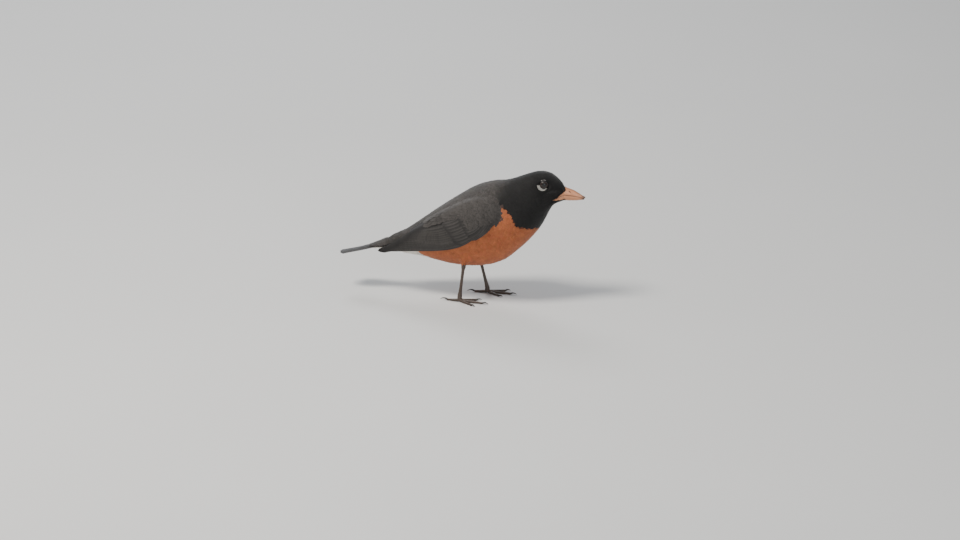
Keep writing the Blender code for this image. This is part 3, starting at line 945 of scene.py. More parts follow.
# Charts of wing and tail --------------------------------------------------------------------------
class Sheet:
    """A smooth height over a plane, fitted to the faces of CAD nodes that face one way."""

    def __init__(self, nodes, origin, along, across, outward, facing, degree):
        centres, normals = [], []
        for node in nodes:
            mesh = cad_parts[node].data
            centres += [polygon.center[:] for polygon in mesh.polygons]
            normals += [polygon.normal[:] for polygon in mesh.polygons]
        centres, normals = np.array(centres) / MM, np.array(normals)
        chosen = centres[normals @ outward * facing > 0.3] - origin
        self.powers = [(i, j) for i in range(degree + 1) for j in range(degree + 1 - i)]
        s, t = chosen @ along, chosen @ across
        self.middle = np.array((s.mean(), t.mean()))
        self.scale = np.array((np.ptp(s), np.ptp(t))) / 2
        self.weights = np.linalg.lstsq(self.terms(s, t), chosen @ outward, rcond=None)[0]

    def terms(self, s, t):
        a = (s - self.middle[0]) / self.scale[0]
        b = (t - self.middle[1]) / self.scale[1]
        return np.stack([a**i * b**j for i, j in self.powers], -1)

    def __call__(self, s, t):
        return self.terms(s, t) @ self.weights


class Chart:
    """A curved space that feathers are laid in: s along, t across and h off a smooth sheet. The
    sheet lies between a node's inner face, at share 0, and its outer one, at share 1."""

    def __init__(self, nodes, origin, along, across, outward, share, degree):
        self.origin, self.along, self.across = origin, along, across
        self.outward, self.share = outward, share
        plane = (nodes, origin, along, across, outward)
        self.inner, self.outer = Sheet(*plane, -1, degree), Sheet(*plane, 1, degree)

    def off(self, s, t):
        return self.inner(s, t) * (1 - self.share) + self.outer(s, t) * self.share

    def places(self, points):
        """The bird's space for rows of (s, t, h)."""
        s, t, h = np.moveaxis(points, -1, 0)
        small = 0.05
        slope_s = (self.off(s + small, t) - self.off(s - small, t)) / (2 * small)
        slope_t = (self.off(s, t + small) - self.off(s, t - small)) / (2 * small)
        normal = self.outward - slope_s[..., None] * self.along - slope_t[..., None] * self.across
        sheet = (
            self.origin
            + s[..., None] * self.along
            + t[..., None] * self.across
            + self.off(s, t)[..., None] * self.outward
        )
        return sheet + unit(normal) * h[..., None]


WING_FALL = math.atan2(0.383, 0.924)  # slope of the folded wing from its bend down to its tip
WING_ALONG = np.array((-math.cos(WING_FALL), 0.0, -math.sin(WING_FALL)))
WING_UP = np.array((-math.sin(WING_FALL), 0.0, math.cos(WING_FALL)))
WING_SHARE = 0.42  # where its sheet lies, from its inner face to its outer one


class Wing:
    """One folded wing's chart and its outline: s from the bend to the tip, t up from that line."""

    def __init__(self, side_name):
        nodes = ("wing_" + side_name, "primaries_" + side_name)
        points = np.concatenate([corners_of(node) for node in nodes])
        bend = points[points[:, 0].argmax()]
        self.side = SIDES[side_name]
        outward = np.array((0.0, float(self.side), 0.0))
        origin = np.array((bend[0], 0.0, bend[2]))
        self.chart = Chart(nodes, origin, WING_ALONG, WING_UP, outward, WING_SHARE, 6)
        s, t = (points - origin) @ WING_ALONG, (points - origin) @ WING_UP
        self.length = s.max()
        stations = np.arange(2.0, self.length - 1, 5.0)
        tops = [t[np.abs(s - at) < 4].max() for at in stations]
        bottoms = [t[np.abs(s - at) < 4].min() for at in stations]
        self.top = np.polyfit(stations, tops, 7)
        self.bottom = np.polyfit(stations, bottoms, 7)

    def upper(self, s):
        return np.polyval(self.top, np.clip(s, 0, self.length))

    def lower(self, s):
        return np.polyval(self.bottom, np.clip(s, 0, self.length))

    def from_top(self, s, t):
        """How far places are under the upper edge, as a share of the wing's depth there."""
        return (self.upper(s) - t) / np.maximum(self.upper(s) - self.lower(s), 1.0)

    def plan(self, places):
        """(s, t) of places in the bird's space."""
        away = places - self.chart.origin
        return away @ WING_ALONG, away @ WING_UP

    def covers(self, places, margin):
        """Whether each place is under this wing, at least margin inside its outline."""
        s, t = self.plan(places)
        within = (s > margin) & (s < self.length - margin)
        within &= (t < self.upper(s) - margin) & (t > self.lower(s) + margin)
        return within & (places[:, 1] * self.side > 0)


# Flight feathers, from the lowest layer up. low_mid and low_tip are where the lower edge runs, as a
# share of the wing's depth at mid wing and towards the tip. shaft is its place across, from -1.
Quill = namedtuple("Quill", "start end width low_mid low_tip shaft")


def flight_feathers():
    """The wing's primaries, secondaries and tertials in the order that they are laid in."""
    ends = (91, 94.5, 98.5, 103.5, 109.5, 115.5, 120.5, 121.5, 115.0)
    mid = (0.21, 0.19, 0.17, 0.15, 0.13, 0.10, 0.07, 0.035, 0.0)
    tip = (0.60, 0.54, 0.47, 0.39, 0.31, 0.23, 0.15, 0.07, 0.0)
    primaries = [
        Quill(12 + 1.2 * i, ends[i], 9.5 - 0.25 * i, mid[i], tip[i], -0.45) for i in range(9)
    ]
    ends = (90.0, 89.5, 88.8, 87.6, 86.0, 83.8)
    secondaries = [
        Quill(14, ends[i], 10.0, 0.25 + 0.056 * i, 0.58 + 0.035 * i, -0.30) for i in range(6)
    ]
    tertials = [
        Quill(20, 80.5, 11.0, 0.60, 0.74, -0.12),
        Quill(20, 72.0, 11.0, 0.69, 0.78, -0.08),
        Quill(18, 62.0, 10.5, 0.79, 0.84, -0.05),
    ]
    return primaries[::-1] + secondaries + tertials


def flight_centre(wing, quill):
    """Centre line of a flight feather in its chart, and its half width."""
    s = np.linspace(quill.start, quill.end, len(LONG_SHARES))
    low_share = quill.low_mid + (quill.low_tip - quill.low_mid) * ramp(s, 55, 100)
    depth = wing.upper(s) - wing.lower(s)
    low = wing.lower(s) + depth * low_share
    width = np.minimum(quill.width, np.maximum(depth * 1.05 - depth * low_share, 3.2))
    height = np.full(len(s), 0.06 * quill.width)
    return np.stack([s, low + width / 2, height], 1), width.max() / 2


def show_quills(name, points, shafts, colours, material, mirrored):
    """One piece of quills, whose shafts are at their places across and whose bake map has a strip
    for each of them."""
    count, along, across = len(points), QUILL_VANE.along, QUILL_VANE.across
    vanes, strips = np.empty((2, count, len(along), 2))
    vanes[..., 0] = along
    vanes[..., 1] = 0.5 + (across - shafts[:, None]) / 2 * 0.8
    strips[..., 0] = 0.01 + 0.98 * along
    strips[..., 1] = (np.arange(count)[:, None] + 0.08 + 0.84 * (across / 2 + 0.5)) / count
    mesh = rows_to_mesh(name, points, QUILL_VANE, vanes, strips, colours, mirrored)
    return show(name, mesh, material)


# Rows of coverts: how many, the (s, t) of the lowest and highest one's root and of their tips,
# width, height over the chart and downward bow.
COVERT_ROWS = {
    "primary": (6, ((20, -9.5), (22, -5.0)), ((46, -15.0), (50, -9.5)), 5.0, 1.0, 0.6),
    "alula": (3, ((10, -8.0), (14, -7.0)), ((31, -14.2), (35, -12.6)), 4.6, 1.45, 0.8),
    "greater": (11, ((22, -8.0), (30, 12.5)), ((47, -10.5), (56, 12.0)), 6.8, 1.25, 0.5),
    "median": (10, ((18, -7.5), (22, 13.5)), ((33, -10.5), (39, 13.5)), 6.2, 1.6, 0.0),
}


def covert_row(count, roots, tips, width, height, bow):
    """Centre lines of a row of coverts between two lines, listed from the lower one up."""
    rows, widths = [], []
    share = LONG_SHARES[:, None]
    for number in range(count):
        at = number / (count - 1)
        root = np.array(roots[0]) * (1 - at) + np.array(roots[1]) * at
        tip = np.array(tips[0]) * (1 - at) + np.array(tips[1]) * at
        root = root + RNG.normal(0, 0.35, 2)
        tip = tip + RNG.normal(0, 0.40, 2)
        line = root * (1 - share) + tip * share
        line[:, 1] -= bow * np.sin(share[:, 0] * math.pi)
        level = np.full(len(line), height + 0.03 * (number % 2))
        rows.append(np.column_stack([line, level]))
        widths.append(width * RNG.uniform(0.95, 1.06) / 2)
    return rows, widths


def shape_quills(centres, half_widths, cut):
    """Points of quills in the (s, t, h) of their chart, along their centre lines."""
    centres = np.array(centres)
    ups = np.zeros_like(centres)
    ups[..., 2] = 1
    return lay_vanes(QUILL_VANE, centres, ups, np.array(half_widths), cut)


def crowned(wing, points):
    """Lowers the layers towards the wing's upper edge, where they meet the back."""
    s, t, _ = np.moveaxis(points, -1, 0)
    # 0 along the upper edge and 1 over the rest of the wing
    rest = ramp(wing.from_top(s, t), -0.03, 0.15)
    sheet = wing.chart.share * (wing.chart.outer(s, t) - wing.chart.inner(s, t))
    points = points.copy()
    points[..., 2] *= (0.35 + 0.65 * rest) * (0.3 + 0.7 * ramp(s, -2, 12))
    points[..., 2] -= np.clip(sheet, 0, 2) * 0.85 * (1 - rest)
    return points


def laid_on_body(form, wing, plan, points):
    """Brings the wing's upper edge down on the body, with the layers kept in their order."""
    s, t, _ = np.moveaxis(plan, -1, 0)
    from_top = wing.from_top(s, t)
    close = (from_top < 0.3) & (s < 75)
    places, normals = form.nearest(points[close])
    height = ((points[close] - places) * normals).sum(1)
    # How high points may stand, which is more away from the edge and towards the wing's tip
    most = 0.35 + 3.0 * ramp(from_top[close], 0.0, 0.3) + 5.0 * ramp(s[close], 50, 75)
    held = most * np.tanh(np.maximum(height, 0.05) / most)
    # The edge itself runs in under the feathers of the back
    held -= 1.2 * (1 - ramp(from_top[close], -0.06, 0.12)) * (1 - ramp(s[close], 50, 70))
    points = points.copy()
    points[close] = places + normals * held[:, None]
    return points


def quill_colours(count, dark, edge, tip_dark=0.0):
    """Dark vanes with a paler edge on the lower side, which shows."""
    across, along = QUILL_VANE.across, QUILL_VANE.along
    rim = ramp(-across, 0.50, 0.95) * (1 - 0.8 * ramp(along, 0.84, 1.0))
    base = dark * (1 - tip_dark * ramp(along, 0.8, 1.0))[:, None]
    colours = mixed(base, edge, rim * 0.6)
    return colours[None] * tones(count, 0.06, 0.15)[:, None]


def make_wing(side_name, wing, form, material):
    """Flight feathers and the rows of coverts over them."""
    quills = flight_feathers()
    centres, widths = zip(*[flight_centre(wing, quill) for quill in quills])
    flight = shape_quills(centres, widths, FLIGHT_CUT)
    shafts = np.array([quill.shaft for quill in quills])
    groups = [covert_row(*row) for row in COVERT_ROWS.values()]
    rows = [row for group, _ in groups for row in group]
    row_widths = [width for _, group in groups for width in group]
    coverts = shape_quills(rows, row_widths, COVERT_CUT)
    plan = np.concatenate([flight, coverts])
    points = laid_on_body(form, wing, plan, wing.chart.places(crowned(wing, plan)))
    shafts = np.concatenate([shafts, np.full(len(rows), -0.1)])
    colours = quill_colours(len(quills), QUILL, QUILL_EDGE, tip_dark=0.25)
    colours = [colours, quill_colours(len(rows), QUILL * 1.35, QUILL_EDGE * 1.05)]
    name, mirrored = "wing_quills_" + side_name, wing.side < 0
    colours = np.concatenate(colours)
    made = show_quills(name, points, shafts, colours, material, mirrored)
    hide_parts("wing_" + side_name, "primaries_" + side_name)


def make_wing_arm(side_name, wing, material):
    """The arm under the coverts: the wing's own solid, thinned towards the body."""
    mesh = joined_form("wing_arm", ["wing_" + side_name], 6, 0.3)
    points = points_of(mesh)
    s, t = wing.plan(points)
    inner = wing.chart.inner(s, t)
    thinned = (points[:, 1] * wing.side - inner) * (0.62 - 0.52 * ramp(s, 24, 44))
    points[:, 1] = wing.side * (inner + thinned)
    move_points(mesh, points)
    paint_points(mesh, "plumage", QUILL * 1.2)
    show("wing_arm_" + side_name, mesh, material)


# Tail ---------------------------------------------------------------------------------------------
TAIL_PAIRS = 6
TAIL_CORNERS = {5: 0.85, 4: 0.35}  # how white the corners of the outer pairs are
TAIL_ROOT_HEIGHT = 42.9
TAIL_AXIS = unit(np.array((-45.9, 0.0, -11.4)))
TAIL_UP = np.array((TAIL_AXIS[2], 0.0, -TAIL_AXIS[0]))


def tail_chart(outward):
    """A chart over the tail's upper or lower face, from its root along its middle."""
    points = corners_of("tail")
    root = np.array((points[:, 0].max(), 0.0, TAIL_ROOT_HEIGHT))
    across = np.array((0.0, 1.0, 0.0))
    return Chart(["tail"], root, TAIL_AXIS, across, outward, 1.0, 4)


def make_tail(material):
    """Twelve feathers, the middle pair on top."""
    chart = tail_chart(TAIL_UP)
    length = ((corners_of("tail") - chart.origin) @ TAIL_AXIS).max()
    centres, widths, colours = [], [], []
    share = LONG_SHARES
    pairs = [(pair, side) for pair in reversed(range(TAIL_PAIRS)) for side in (-1, 1)]
    for pair, side in pairs:
        # Each pair further out is a little shorter, spreads wider and lies a little lower
        end = length - 0.9 - 0.16 * pair**1.6 + 0.5 * math.sin(pair * 2.1 + side)
        lean = side * (1.0 + 0.35 * pair) * (1 - share) + side * (1.9 + 1.18 * pair) * share
        height = -0.12 - 0.135 * pair - (0.065 if side < 0 else 0.0)
        s = 2 + (end - 2) * share
        sink = -1.2 * (1 - ramp(s, 4, 26))
        centres.append(np.column_stack([s, lean, height + sink]))
        widths.append(4.9 + 0.3 * (pair == 0))
    plans = shape_quills(centres, widths, TAIL_CUT)
    along = QUILL_VANE.along
    for pair, side in pairs:
        outer = QUILL_VANE.across * side
        colour = mixed(TAIL_DARK, QUILL_EDGE * 0.6, ramp(outer, 0.55, 0.98) * 0.7)
        corner = ramp(along - 0.03 * outer, 0.93, 0.99) * ramp(0.3 - outer, 0.0, 0.5)
        colours.append(mixed(colour, WHITE * 0.9, corner * TAIL_CORNERS.get(pair, 0.0)))
    shafts, colours = np.zeros(len(pairs)), np.array(colours)
    points = chart.places(plans)
    made = show_quills("tail_quills", points, shafts, colours, material, True)
    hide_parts("tail")


def make_tail_coverts(name, outward, reaches, half, colour, material):
    """Rows of coverts over one face of the tail's root, the longest row lowest."""
    chart = tail_chart(outward)
    centres, widths = [], []
    share = LONG_SHARES
    for row, reach in enumerate(reaches):
        places = np.linspace(-1, 1, 7 - row % 2)
        for place in sorted(places, key=abs, reverse=True):
            end = reach * (1 - 0.22 * place**2) * RNG.uniform(0.96, 1.04)
            s = 0.5 + (end - 0.5) * share
            t = place * (half + 1.5 * share)
            top = 0.05 + 0.22 * row + 0.12 * (1 - abs(place))
            h = top - (1.1 + top) * (1 - ramp(share, 0.0, 0.6))
            centres.append(np.column_stack([s, t, h]))
            widths.append(3.3 - 0.2 * row)
    plans = shape_quills(centres, widths, TAIL_COVERT_CUT)
    count = len(plans)
    colours = along_vane(QUILL_VANE, colour * tones(count, 0.06, 0.15), 0.25)
    points, mirrored = chart.places(plans), outward[2] > 0
    show_quills(name, points, np.zeros(count), colours, material, mirrored)


# Bill ---------------------------------------------------------------------------------------------
class BillProfile:
    """The outline of one mandible of the frame, measured along the way the bill points."""

    def __init__(self, node):
        local = corners_of(node) - BILL_BASE
        self.along = np.unique(np.round(local @ FORWARD, 0))
        rings = [local[np.abs(local @ FORWARD - at) < 0.6] for at in self.along]
        self.top = [ring[:, 2].max() for ring in rings]
        self.bottom = [ring[:, 2].min() for ring in rings]
        self.half = [np.abs(ring @ SIDEWAYS).max() for ring in rings]
        self.start = (local @ FORWARD).min()
        self.end = (local @ FORWARD).max()
        self.upper = node == "bill_upper"

    def at(self, ahead):
        rows = (self.top, self.bottom, self.half)
        return [float(np.interp(ahead, self.along, row)) for row in rows]


BILL_PROFILES = {node: BillProfile(node) for node in ("bill_upper", "bill_lower")}
# A nostril: its middle ahead of the bill's base and in radians round it from the ridge, its half
# length, how it slants, and the half widths of its pit and of the dark in it, in radians.
NOSTRIL_AHEAD, NOSTRIL_TURN = 4.6, 0.98
NOSTRIL_HALF, NOSTRIL_SLANT = 1.2, 0.1
NOSTRIL_PIT, NOSTRIL_DARK = 0.17, 0.13
BILL_TUCK = 1.6  # how far each mandible runs back under the feathers
TIP_FROM = 0.97  # where its tip starts to close
RIDGE_POWER = 0.85  # how round its section is
EDGE_DROP = 0.1  # how far the upper half's edge comes down over the lower half


def off_nostril(profile, ahead, turn, half_width):
    """Square of the distance from a nostril's middle, which is 1 at the rim."""
    along = (ahead - profile.start - NOSTRIL_AHEAD) / NOSTRIL_HALF
    return along**2 + ((turn - NOSTRIL_TURN - NOSTRIL_SLANT * along) / half_width) ** 2


def bill_place(profile, ahead, turn):
    """A point on a mandible at an angle round it from its outer ridge."""
    top, bottom, half = profile.at(ahead)
    hidden = 0.16 * min(max(profile.start - ahead, 0.0), BILL_TUCK) / BILL_TUCK
    middle = (top + bottom) / 2
    top, bottom = top + (middle - top) * hidden, bottom + (middle - bottom) * hidden
    half *= 1 - hidden
    edge, ridge = (bottom, top) if profile.upper else (top, bottom)
    across = half * math.sin(turn)
    if math.cos(turn) > 0:
        rise = (ridge - edge) * math.cos(turn) ** RIDGE_POWER
    else:
        rise = (ridge - edge) * -0.10 * math.cos(turn)
        across *= 0.90
    if profile.upper:
        across *= 1 - 0.12 * math.exp(-off_nostril(profile, ahead, abs(turn), NOSTRIL_PIT))
        edge -= EDGE_DROP
    return BILL_BASE + FORWARD * ahead + SIDEWAYS * across + UP * (edge + rise)


def make_mandible(node, material):
    """The horn of one half of the bill, with its dusky tip and cutting edge and the nostrils, and
    painted shade along the edge and in the nostrils.
    """
    profile = BILL_PROFILES[node]
    first, last = profile.start - BILL_TUCK, profile.end

    def place(row, column):
        ahead = first + (last - first) * (1 - (1 - row) ** 1.25)
        turn = (column * 2 - 1) * math.pi
        point = bill_place(profile, ahead, turn)
        if row > TIP_FROM:
            middle = (bill_place(profile, ahead, 0) + bill_place(profile, ahead, math.pi)) / 2
            point = middle + (point - middle) * math.sqrt(max(0.0, (1 - row) / (1 - TIP_FROM)))
        return point

    mesh = laid_grid(node, 150, 120, place)
    local = points_of(mesh) - BILL_BASE
    ahead = local @ FORWARD
    share = (ahead - profile.start) / (profile.end - profile.start)
    uneven = wavering(local, 1.6, 8)
    # Dusky at the tip and along the ridge of the upper half
    dusk = ramp(share + 0.05 * uneven, 0.72, 1.0)
    top = np.interp(ahead, profile.along, profile.top)
    bottom = np.interp(ahead, profile.along, profile.bottom)
    dusk = np.maximum(dusk, (0.45 if profile.upper else 0.0) * ramp(local[:, 2] - top, -1.4, 0.0))
    colour = mixed(HORN * (1 + 0.06 * uneven[:, None]), HORN_DUSK_AND_SHADE, dusk * 0.9)
    # Painted shade where the halves close on each other, and in the nostrils
    edge, ridge = (bottom - EDGE_DROP, top) if profile.upper else (top, bottom)
    from_edge = np.clip((local[:, 2] - edge) / (ridge - edge), 0, 1)
    colour = mixed(colour, HORN_DUSK_AND_SHADE * 0.6, ramp(-from_edge, -0.07, -0.01) * 0.85)
    if profile.upper:
        turn = np.arccos(from_edge ** (1 / RIDGE_POWER))
        away = off_nostril(profile, ahead, turn, NOSTRIL_DARK)
        colour = mixed(colour, HORN_DUSK_AND_SHADE * 0.3, ramp(-away, -1.1, -0.3))
    paint_points(mesh, "horn", colour)
    made = show(node + "_horn", mesh, material)
    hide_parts(node)


def lines_on_bill(profile, turns, starts, ends, lift):
    """Centre lines that run forward over a mandible, and the way out from it."""
    share = SHORT_SHARES
    centres, ups = [], []
    for turn, start, end in zip(turns, starts, ends):
        line = [bill_place(profile, start + (end - start) * at, turn) for at in share]
        middle = [bill_place(profile, start + (end - start) * at, math.pi) for at in share]
        outward = unit(np.array(line) - np.array(middle))
        centres.append(np.array(line) + outward * (0.28 * share - 0.12 + lift)[:, None])
        ups.append(outward)
    return np.array(centres), np.array(ups)


# Feathers over the base of each mandible: how many, the angle from its ridge where they reach
# furthest ahead, and by how much.
BILL_FRINGE = {"bill_upper": (170, 0.9, 1.4), "bill_lower": (150, 0.0, 0.6)}


def make_bill_fringe(form, material):
    """Short stiff feathers that point forward over the base of the bill and the horn beside it."""
    centres, ups = [], []
    for node, (count, furthest, extra) in BILL_FRINGE.items():
        profile = BILL_PROFILES[node]
        turns = RNG.uniform(-1.0, 1.0, count)
        reach = 0.4 + extra * np.exp(-(((np.abs(turns) - furthest) / 0.4) ** 2))
        ends = profile.start + reach * RNG.uniform(0.45, 1.0, count)
        starts = ends - RNG.uniform(1.6, 2.4, count)
        laid = lines_on_bill(profile, turns, starts, ends, 0.06)
        centres.append(laid[0])
        ups.append(laid[1])
    share = SHORT_SHARES[:, None]
    for side in SIDES.values():
        for line, down, count in ((GAPE_TOP, 1, 230), (GAPE_BOTTOM, -1, 160)):
            for ahead in RNG.uniform(GAPE_AHEAD[0], 0.3, count):
                height = np.interp(ahead, GAPE_AHEAD, line) + RNG.uniform(0.2, 1.1) * down
                length, lean = RNG.uniform(0.8, 1.4), RNG.uniform(0.1, 0.7) * down
                root = side_of_face(form, side, ahead - 0.5 * length, height)
                tip = side_of_face(form, side, ahead + 0.5 * length, height - lean * length)
                outward = unit(SIDEWAYS * side + FORWARD * 0.3)
                rising = outward * (0.30 * share - 0.12)
                centres.append((root * (1 - share) + tip * share + rising)[None])
                ups.append(steady(outward)[None])
    centres, ups = np.concatenate(centres), np.concatenate(ups)
    halves = RNG.uniform(0.14, 0.24, len(centres))
    points = lay_vanes(FACE_VANE, centres, ups, halves, BODY_CUT)
    base = SOOT * RNG.uniform(0.8, 1.3, (len(centres), 1))
    colours = along_vane(FACE_VANE, base)
    name = "bill_base_feathers"
    show_vanes(name, FACE_VANE, points, centres[:, 0], colours, material)


def side_of_face(form, side, ahead, height):
    """The outside of the head or bill at a place beside the mouth."""
    level = BILL_BASE + FORWARD * ahead + UP * height
    found = form.tree.ray_cast(Vector(level + SIDEWAYS * side * 20), Vector(-SIDEWAYS * side))
    face = (np.array(found[0]) - level) @ SIDEWAYS * side if found[0] else 0.0
    profile = BILL_PROFILES["bill_upper" if height > 0 else "bill_lower"]
    top, bottom, half = profile.at(ahead)
    edge, ridge = (bottom, top) if profile.upper else (top, bottom)
    rise = min(max((height - edge) / (ridge - edge), 0.0), 1.0) ** (1 / RIDGE_POWER)
    return level + SIDEWAYS * side * max(face, half * math.sqrt(1 - rise**2))


def make_bristles(form, material):
    """Stiff bristles over the corners of the mouth."""
    centres, ups = [], []
    share = SHORT_SHARES[:, None]
    for side in SIDES.values():
        for number in range(6):
            ahead = -7.4 + 1.05 * number
            height = np.interp(ahead, GAPE_AHEAD, GAPE_TOP) + 0.5 + 0.3 * (number % 2)
            root = side_of_face(form, side, ahead, height) - SIDEWAYS * side * 0.2
            length = 3.7 - 0.2 * number
            reach = FORWARD + SIDEWAYS * side * 0.10 - UP * (0.45 - 0.03 * number)
            line = root + reach * length * share - UP * 1.1 * share**2
            centres.append(line + SIDEWAYS * side * 0.6 * np.sin(share * math.pi / 2))
            ups.append(steady(SIDEWAYS * side))
    centres = np.array(centres)
    halves = np.full(len(centres), 0.055)
    points = lay_vanes(FACE_VANE, centres, np.array(ups), halves, BRISTLE_CUT)
    colours = along_vane(FACE_VANE, np.broadcast_to(SOOT * 0.8, (len(points), 3)))
    roots = centres[:, 0]
    show_vanes("rictal_bristles", FACE_VANE, points, roots, colours, material)


def make_gape(side_name, form, material):
    """The horn that runs back from the bill to the corner of the mouth, with the slit in it, which
    has painted shade along it.
    """
    side = SIDES[side_name]

    def place(row, column):
        ahead = GAPE_FRONT + (GAPE_AHEAD[0] - GAPE_FRONT) * row
        lines = [np.interp(ahead, GAPE_AHEAD, line) for line in (GAPE_TOP, GAPE_SLIT, GAPE_BOTTOM)]
        down = column * 2 if column < 0.5 else 2 - column * 2
        top, slit, bottom = lines
        height = top + (bottom - top) * down
        rim = min(top - height, height - bottom)
        # Proud of the face, but sunk under the bill and at the corner, the rims and the slit
        proud = 0.27 * ramp(-ahead, -1.0, 1.0) - 0.12 - 0.4 * ramp(row, 0.92, 1.0)
        proud -= 0.35 * (1 - ramp(rim, 0.0, 0.8)) * (1 - row * 0.5)
        proud -= 0.30 * math.exp(-(((height - slit) / 0.30) ** 2)) * ramp(-ahead, -1.2, -0.2)
        if column > 0.5:
            proud -= 1.1 * math.sin(math.pi * down)
        return side_of_face(form, side, ahead, height) + SIDEWAYS * side * proud

    mesh = laid_grid("gape", 44, 64, place)
    local = points_of(mesh) - BILL_BASE
    ahead = local @ FORWARD
    off_slit = (local[:, 2] - np.interp(ahead, GAPE_AHEAD, GAPE_SLIT)) / 0.20
    uneven = wavering(local, 1.6, 8)[:, None]
    # Painted shade along the slit of the mouth.
    slit = np.exp(-(off_slit**2)) * ramp(-ahead, -1.5, -0.9)
    colour = mixed(HORN * (0.97 + 0.06 * uneven), HORN_DUSK_AND_SHADE * 0.6, slit * 0.9)
    paint_points(mesh, "horn", colour)
    show("gape_" + side_name, mesh, material)


# Eyes ---------------------------------------------------------------------------------------------
PUPIL = np.array((0.002, 0.002, 0.002))
IRIS = np.array((0.022, 0.009, 0.005))
LID_GREY = np.array((0.018, 0.016, 0.015))
BALL_RADIUS = EYE_RADIUS - 0.15
CORNEA_BULGE, CORNEA_TILT = 0.045, 0.55  # its share of the radius, and its edge off the axis
PUPIL_EDGE, IRIS_EDGE = (24, 27), (38, 46)  # degrees off the axis


def make_eyeball(side_name, material):
    """The eyeball, with its cornea standing out and its iris and pupil painted."""
    centre = EYES[side_name]
    outward, forward, up = EYE_AXES[side_name]

    def place(row, column):
        tilt, turn = row * math.pi, column * 2 * math.pi
        bulge = 1 + CORNEA_BULGE * math.exp(-((tilt / CORNEA_TILT) ** 4))
        across = math.sin(tilt) * (forward * math.cos(turn) + up * math.sin(turn))
        return centre + (outward * math.cos(tilt) * bulge + across) * BALL_RADIUS

    mesh = laid_grid("eye", 48, 48, place)
    from_axis = unit(points_of(mesh) - centre) @ outward
    tilt = np.degrees(np.arccos(np.clip(from_axis, -1, 1)))
    colour = mixed(PUPIL, IRIS, ramp(tilt, *PUPIL_EDGE))
    colour = mixed(colour, IRIS * 0.2, ramp(tilt, *IRIS_EDGE))
    paint_points(mesh, "iris", colour)
    made = show("eye_ball_" + side_name, mesh, material)
    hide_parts("eye_" + side_name)


def make_eyelids(side_name, material):
    """The beaded rim of the lids round the eyeball, a little less tall than long."""
    centre = EYES[side_name]
    outward, forward, up = EYE_AXES[side_name]

    def place(row, column):
        turn, round_ring = row * 2 * math.pi, column * 2 * math.pi
        wide = LID_RADIUS * (1 - 0.13 * math.sin(turn) ** 2)
        ball_height = math.sqrt(BALL_RADIUS**2 - wide**2)
        spoke = forward * math.cos(turn) + up * math.sin(turn)
        thick = 0.11 * (1 + 0.15 * math.sin(turn * 31))
        out = math.cos(round_ring)
        ring = spoke * (wide + (thick if out < 0 else 0.32) * out)
        lifted = ball_height + 0.08 + thick * math.sin(round_ring) - 0.22 * max(out, 0.0)
        return centre + ring + outward * lifted

    mesh = laid_grid("lids", 96, 12, place)
    paint_points(mesh, "scale", LID_GREY)
    show("eyelids_" + side_name, mesh, material)


# Legs ---------------------------------------------------------------------------------------------
LEG_BROWN = np.array((0.056, 0.037, 0.027))
LEG_DARK = np.array((0.022, 0.015, 0.012))
TOE_NAMES = ("inner", "middle", "outer", "hallux")
CLAW_HORN = np.array((0.020, 0.017, 0.015))
INSTEP_HEIGHT = 1.7
SHANK_PLATES = 9
SHANK_TUCK = 5  # how far the shank's skin runs up inside the thigh
TOE_PLATE = 1.25  # length of a toe's plates
# Heights over the ankle of each ring's roots and tips, and their distances from the leg's middle
THIGH_RINGS = (
    (9.0, 3.4, 2.8, 3.1),
    (7.4, 2.0, 2.7, 2.8),
    (5.6, 0.8, 2.5, 2.55),
    (4.2, -0.4, 2.3, 2.4),
)


def tube_mesh(name, centres, radii, rows, columns, relief, flat_floor=True):
    """A round limb along centres, with radii at them, and relief(along, turn) added outwards."""
    stations = np.linspace(0, 1, len(centres))
    centres, radii = np.array(centres), np.array(radii)

    def centre_at(share):
        return np.array([np.interp(share, stations, centres[:, axis]) for axis in range(3)])

    def place(row, column):
        here = centre_at(row)
        heading = unit(centre_at(min(row + 0.02, 1)) - centre_at(max(row - 0.02, 0)))
        steep = abs(heading[2]) > 0.8
        side = unit(np.cross(heading, FORWARD) if steep else np.cross(UP, heading))
        top = np.cross(heading, side)
        turn = column * 2 * math.pi
        radius = np.interp(row, stations, radii) + relief(row, turn)
        close = min(row, 1 - row)
        if close < 0.02:
            radius *= math.sqrt(max(close, 0.0) / 0.02)
        point = here + (side * math.sin(turn) + top * math.cos(turn)) * radius
        if flat_floor:
            point[2] = max(point[2], 0.0)
        return point

    return laid_grid(name, rows, columns, place)


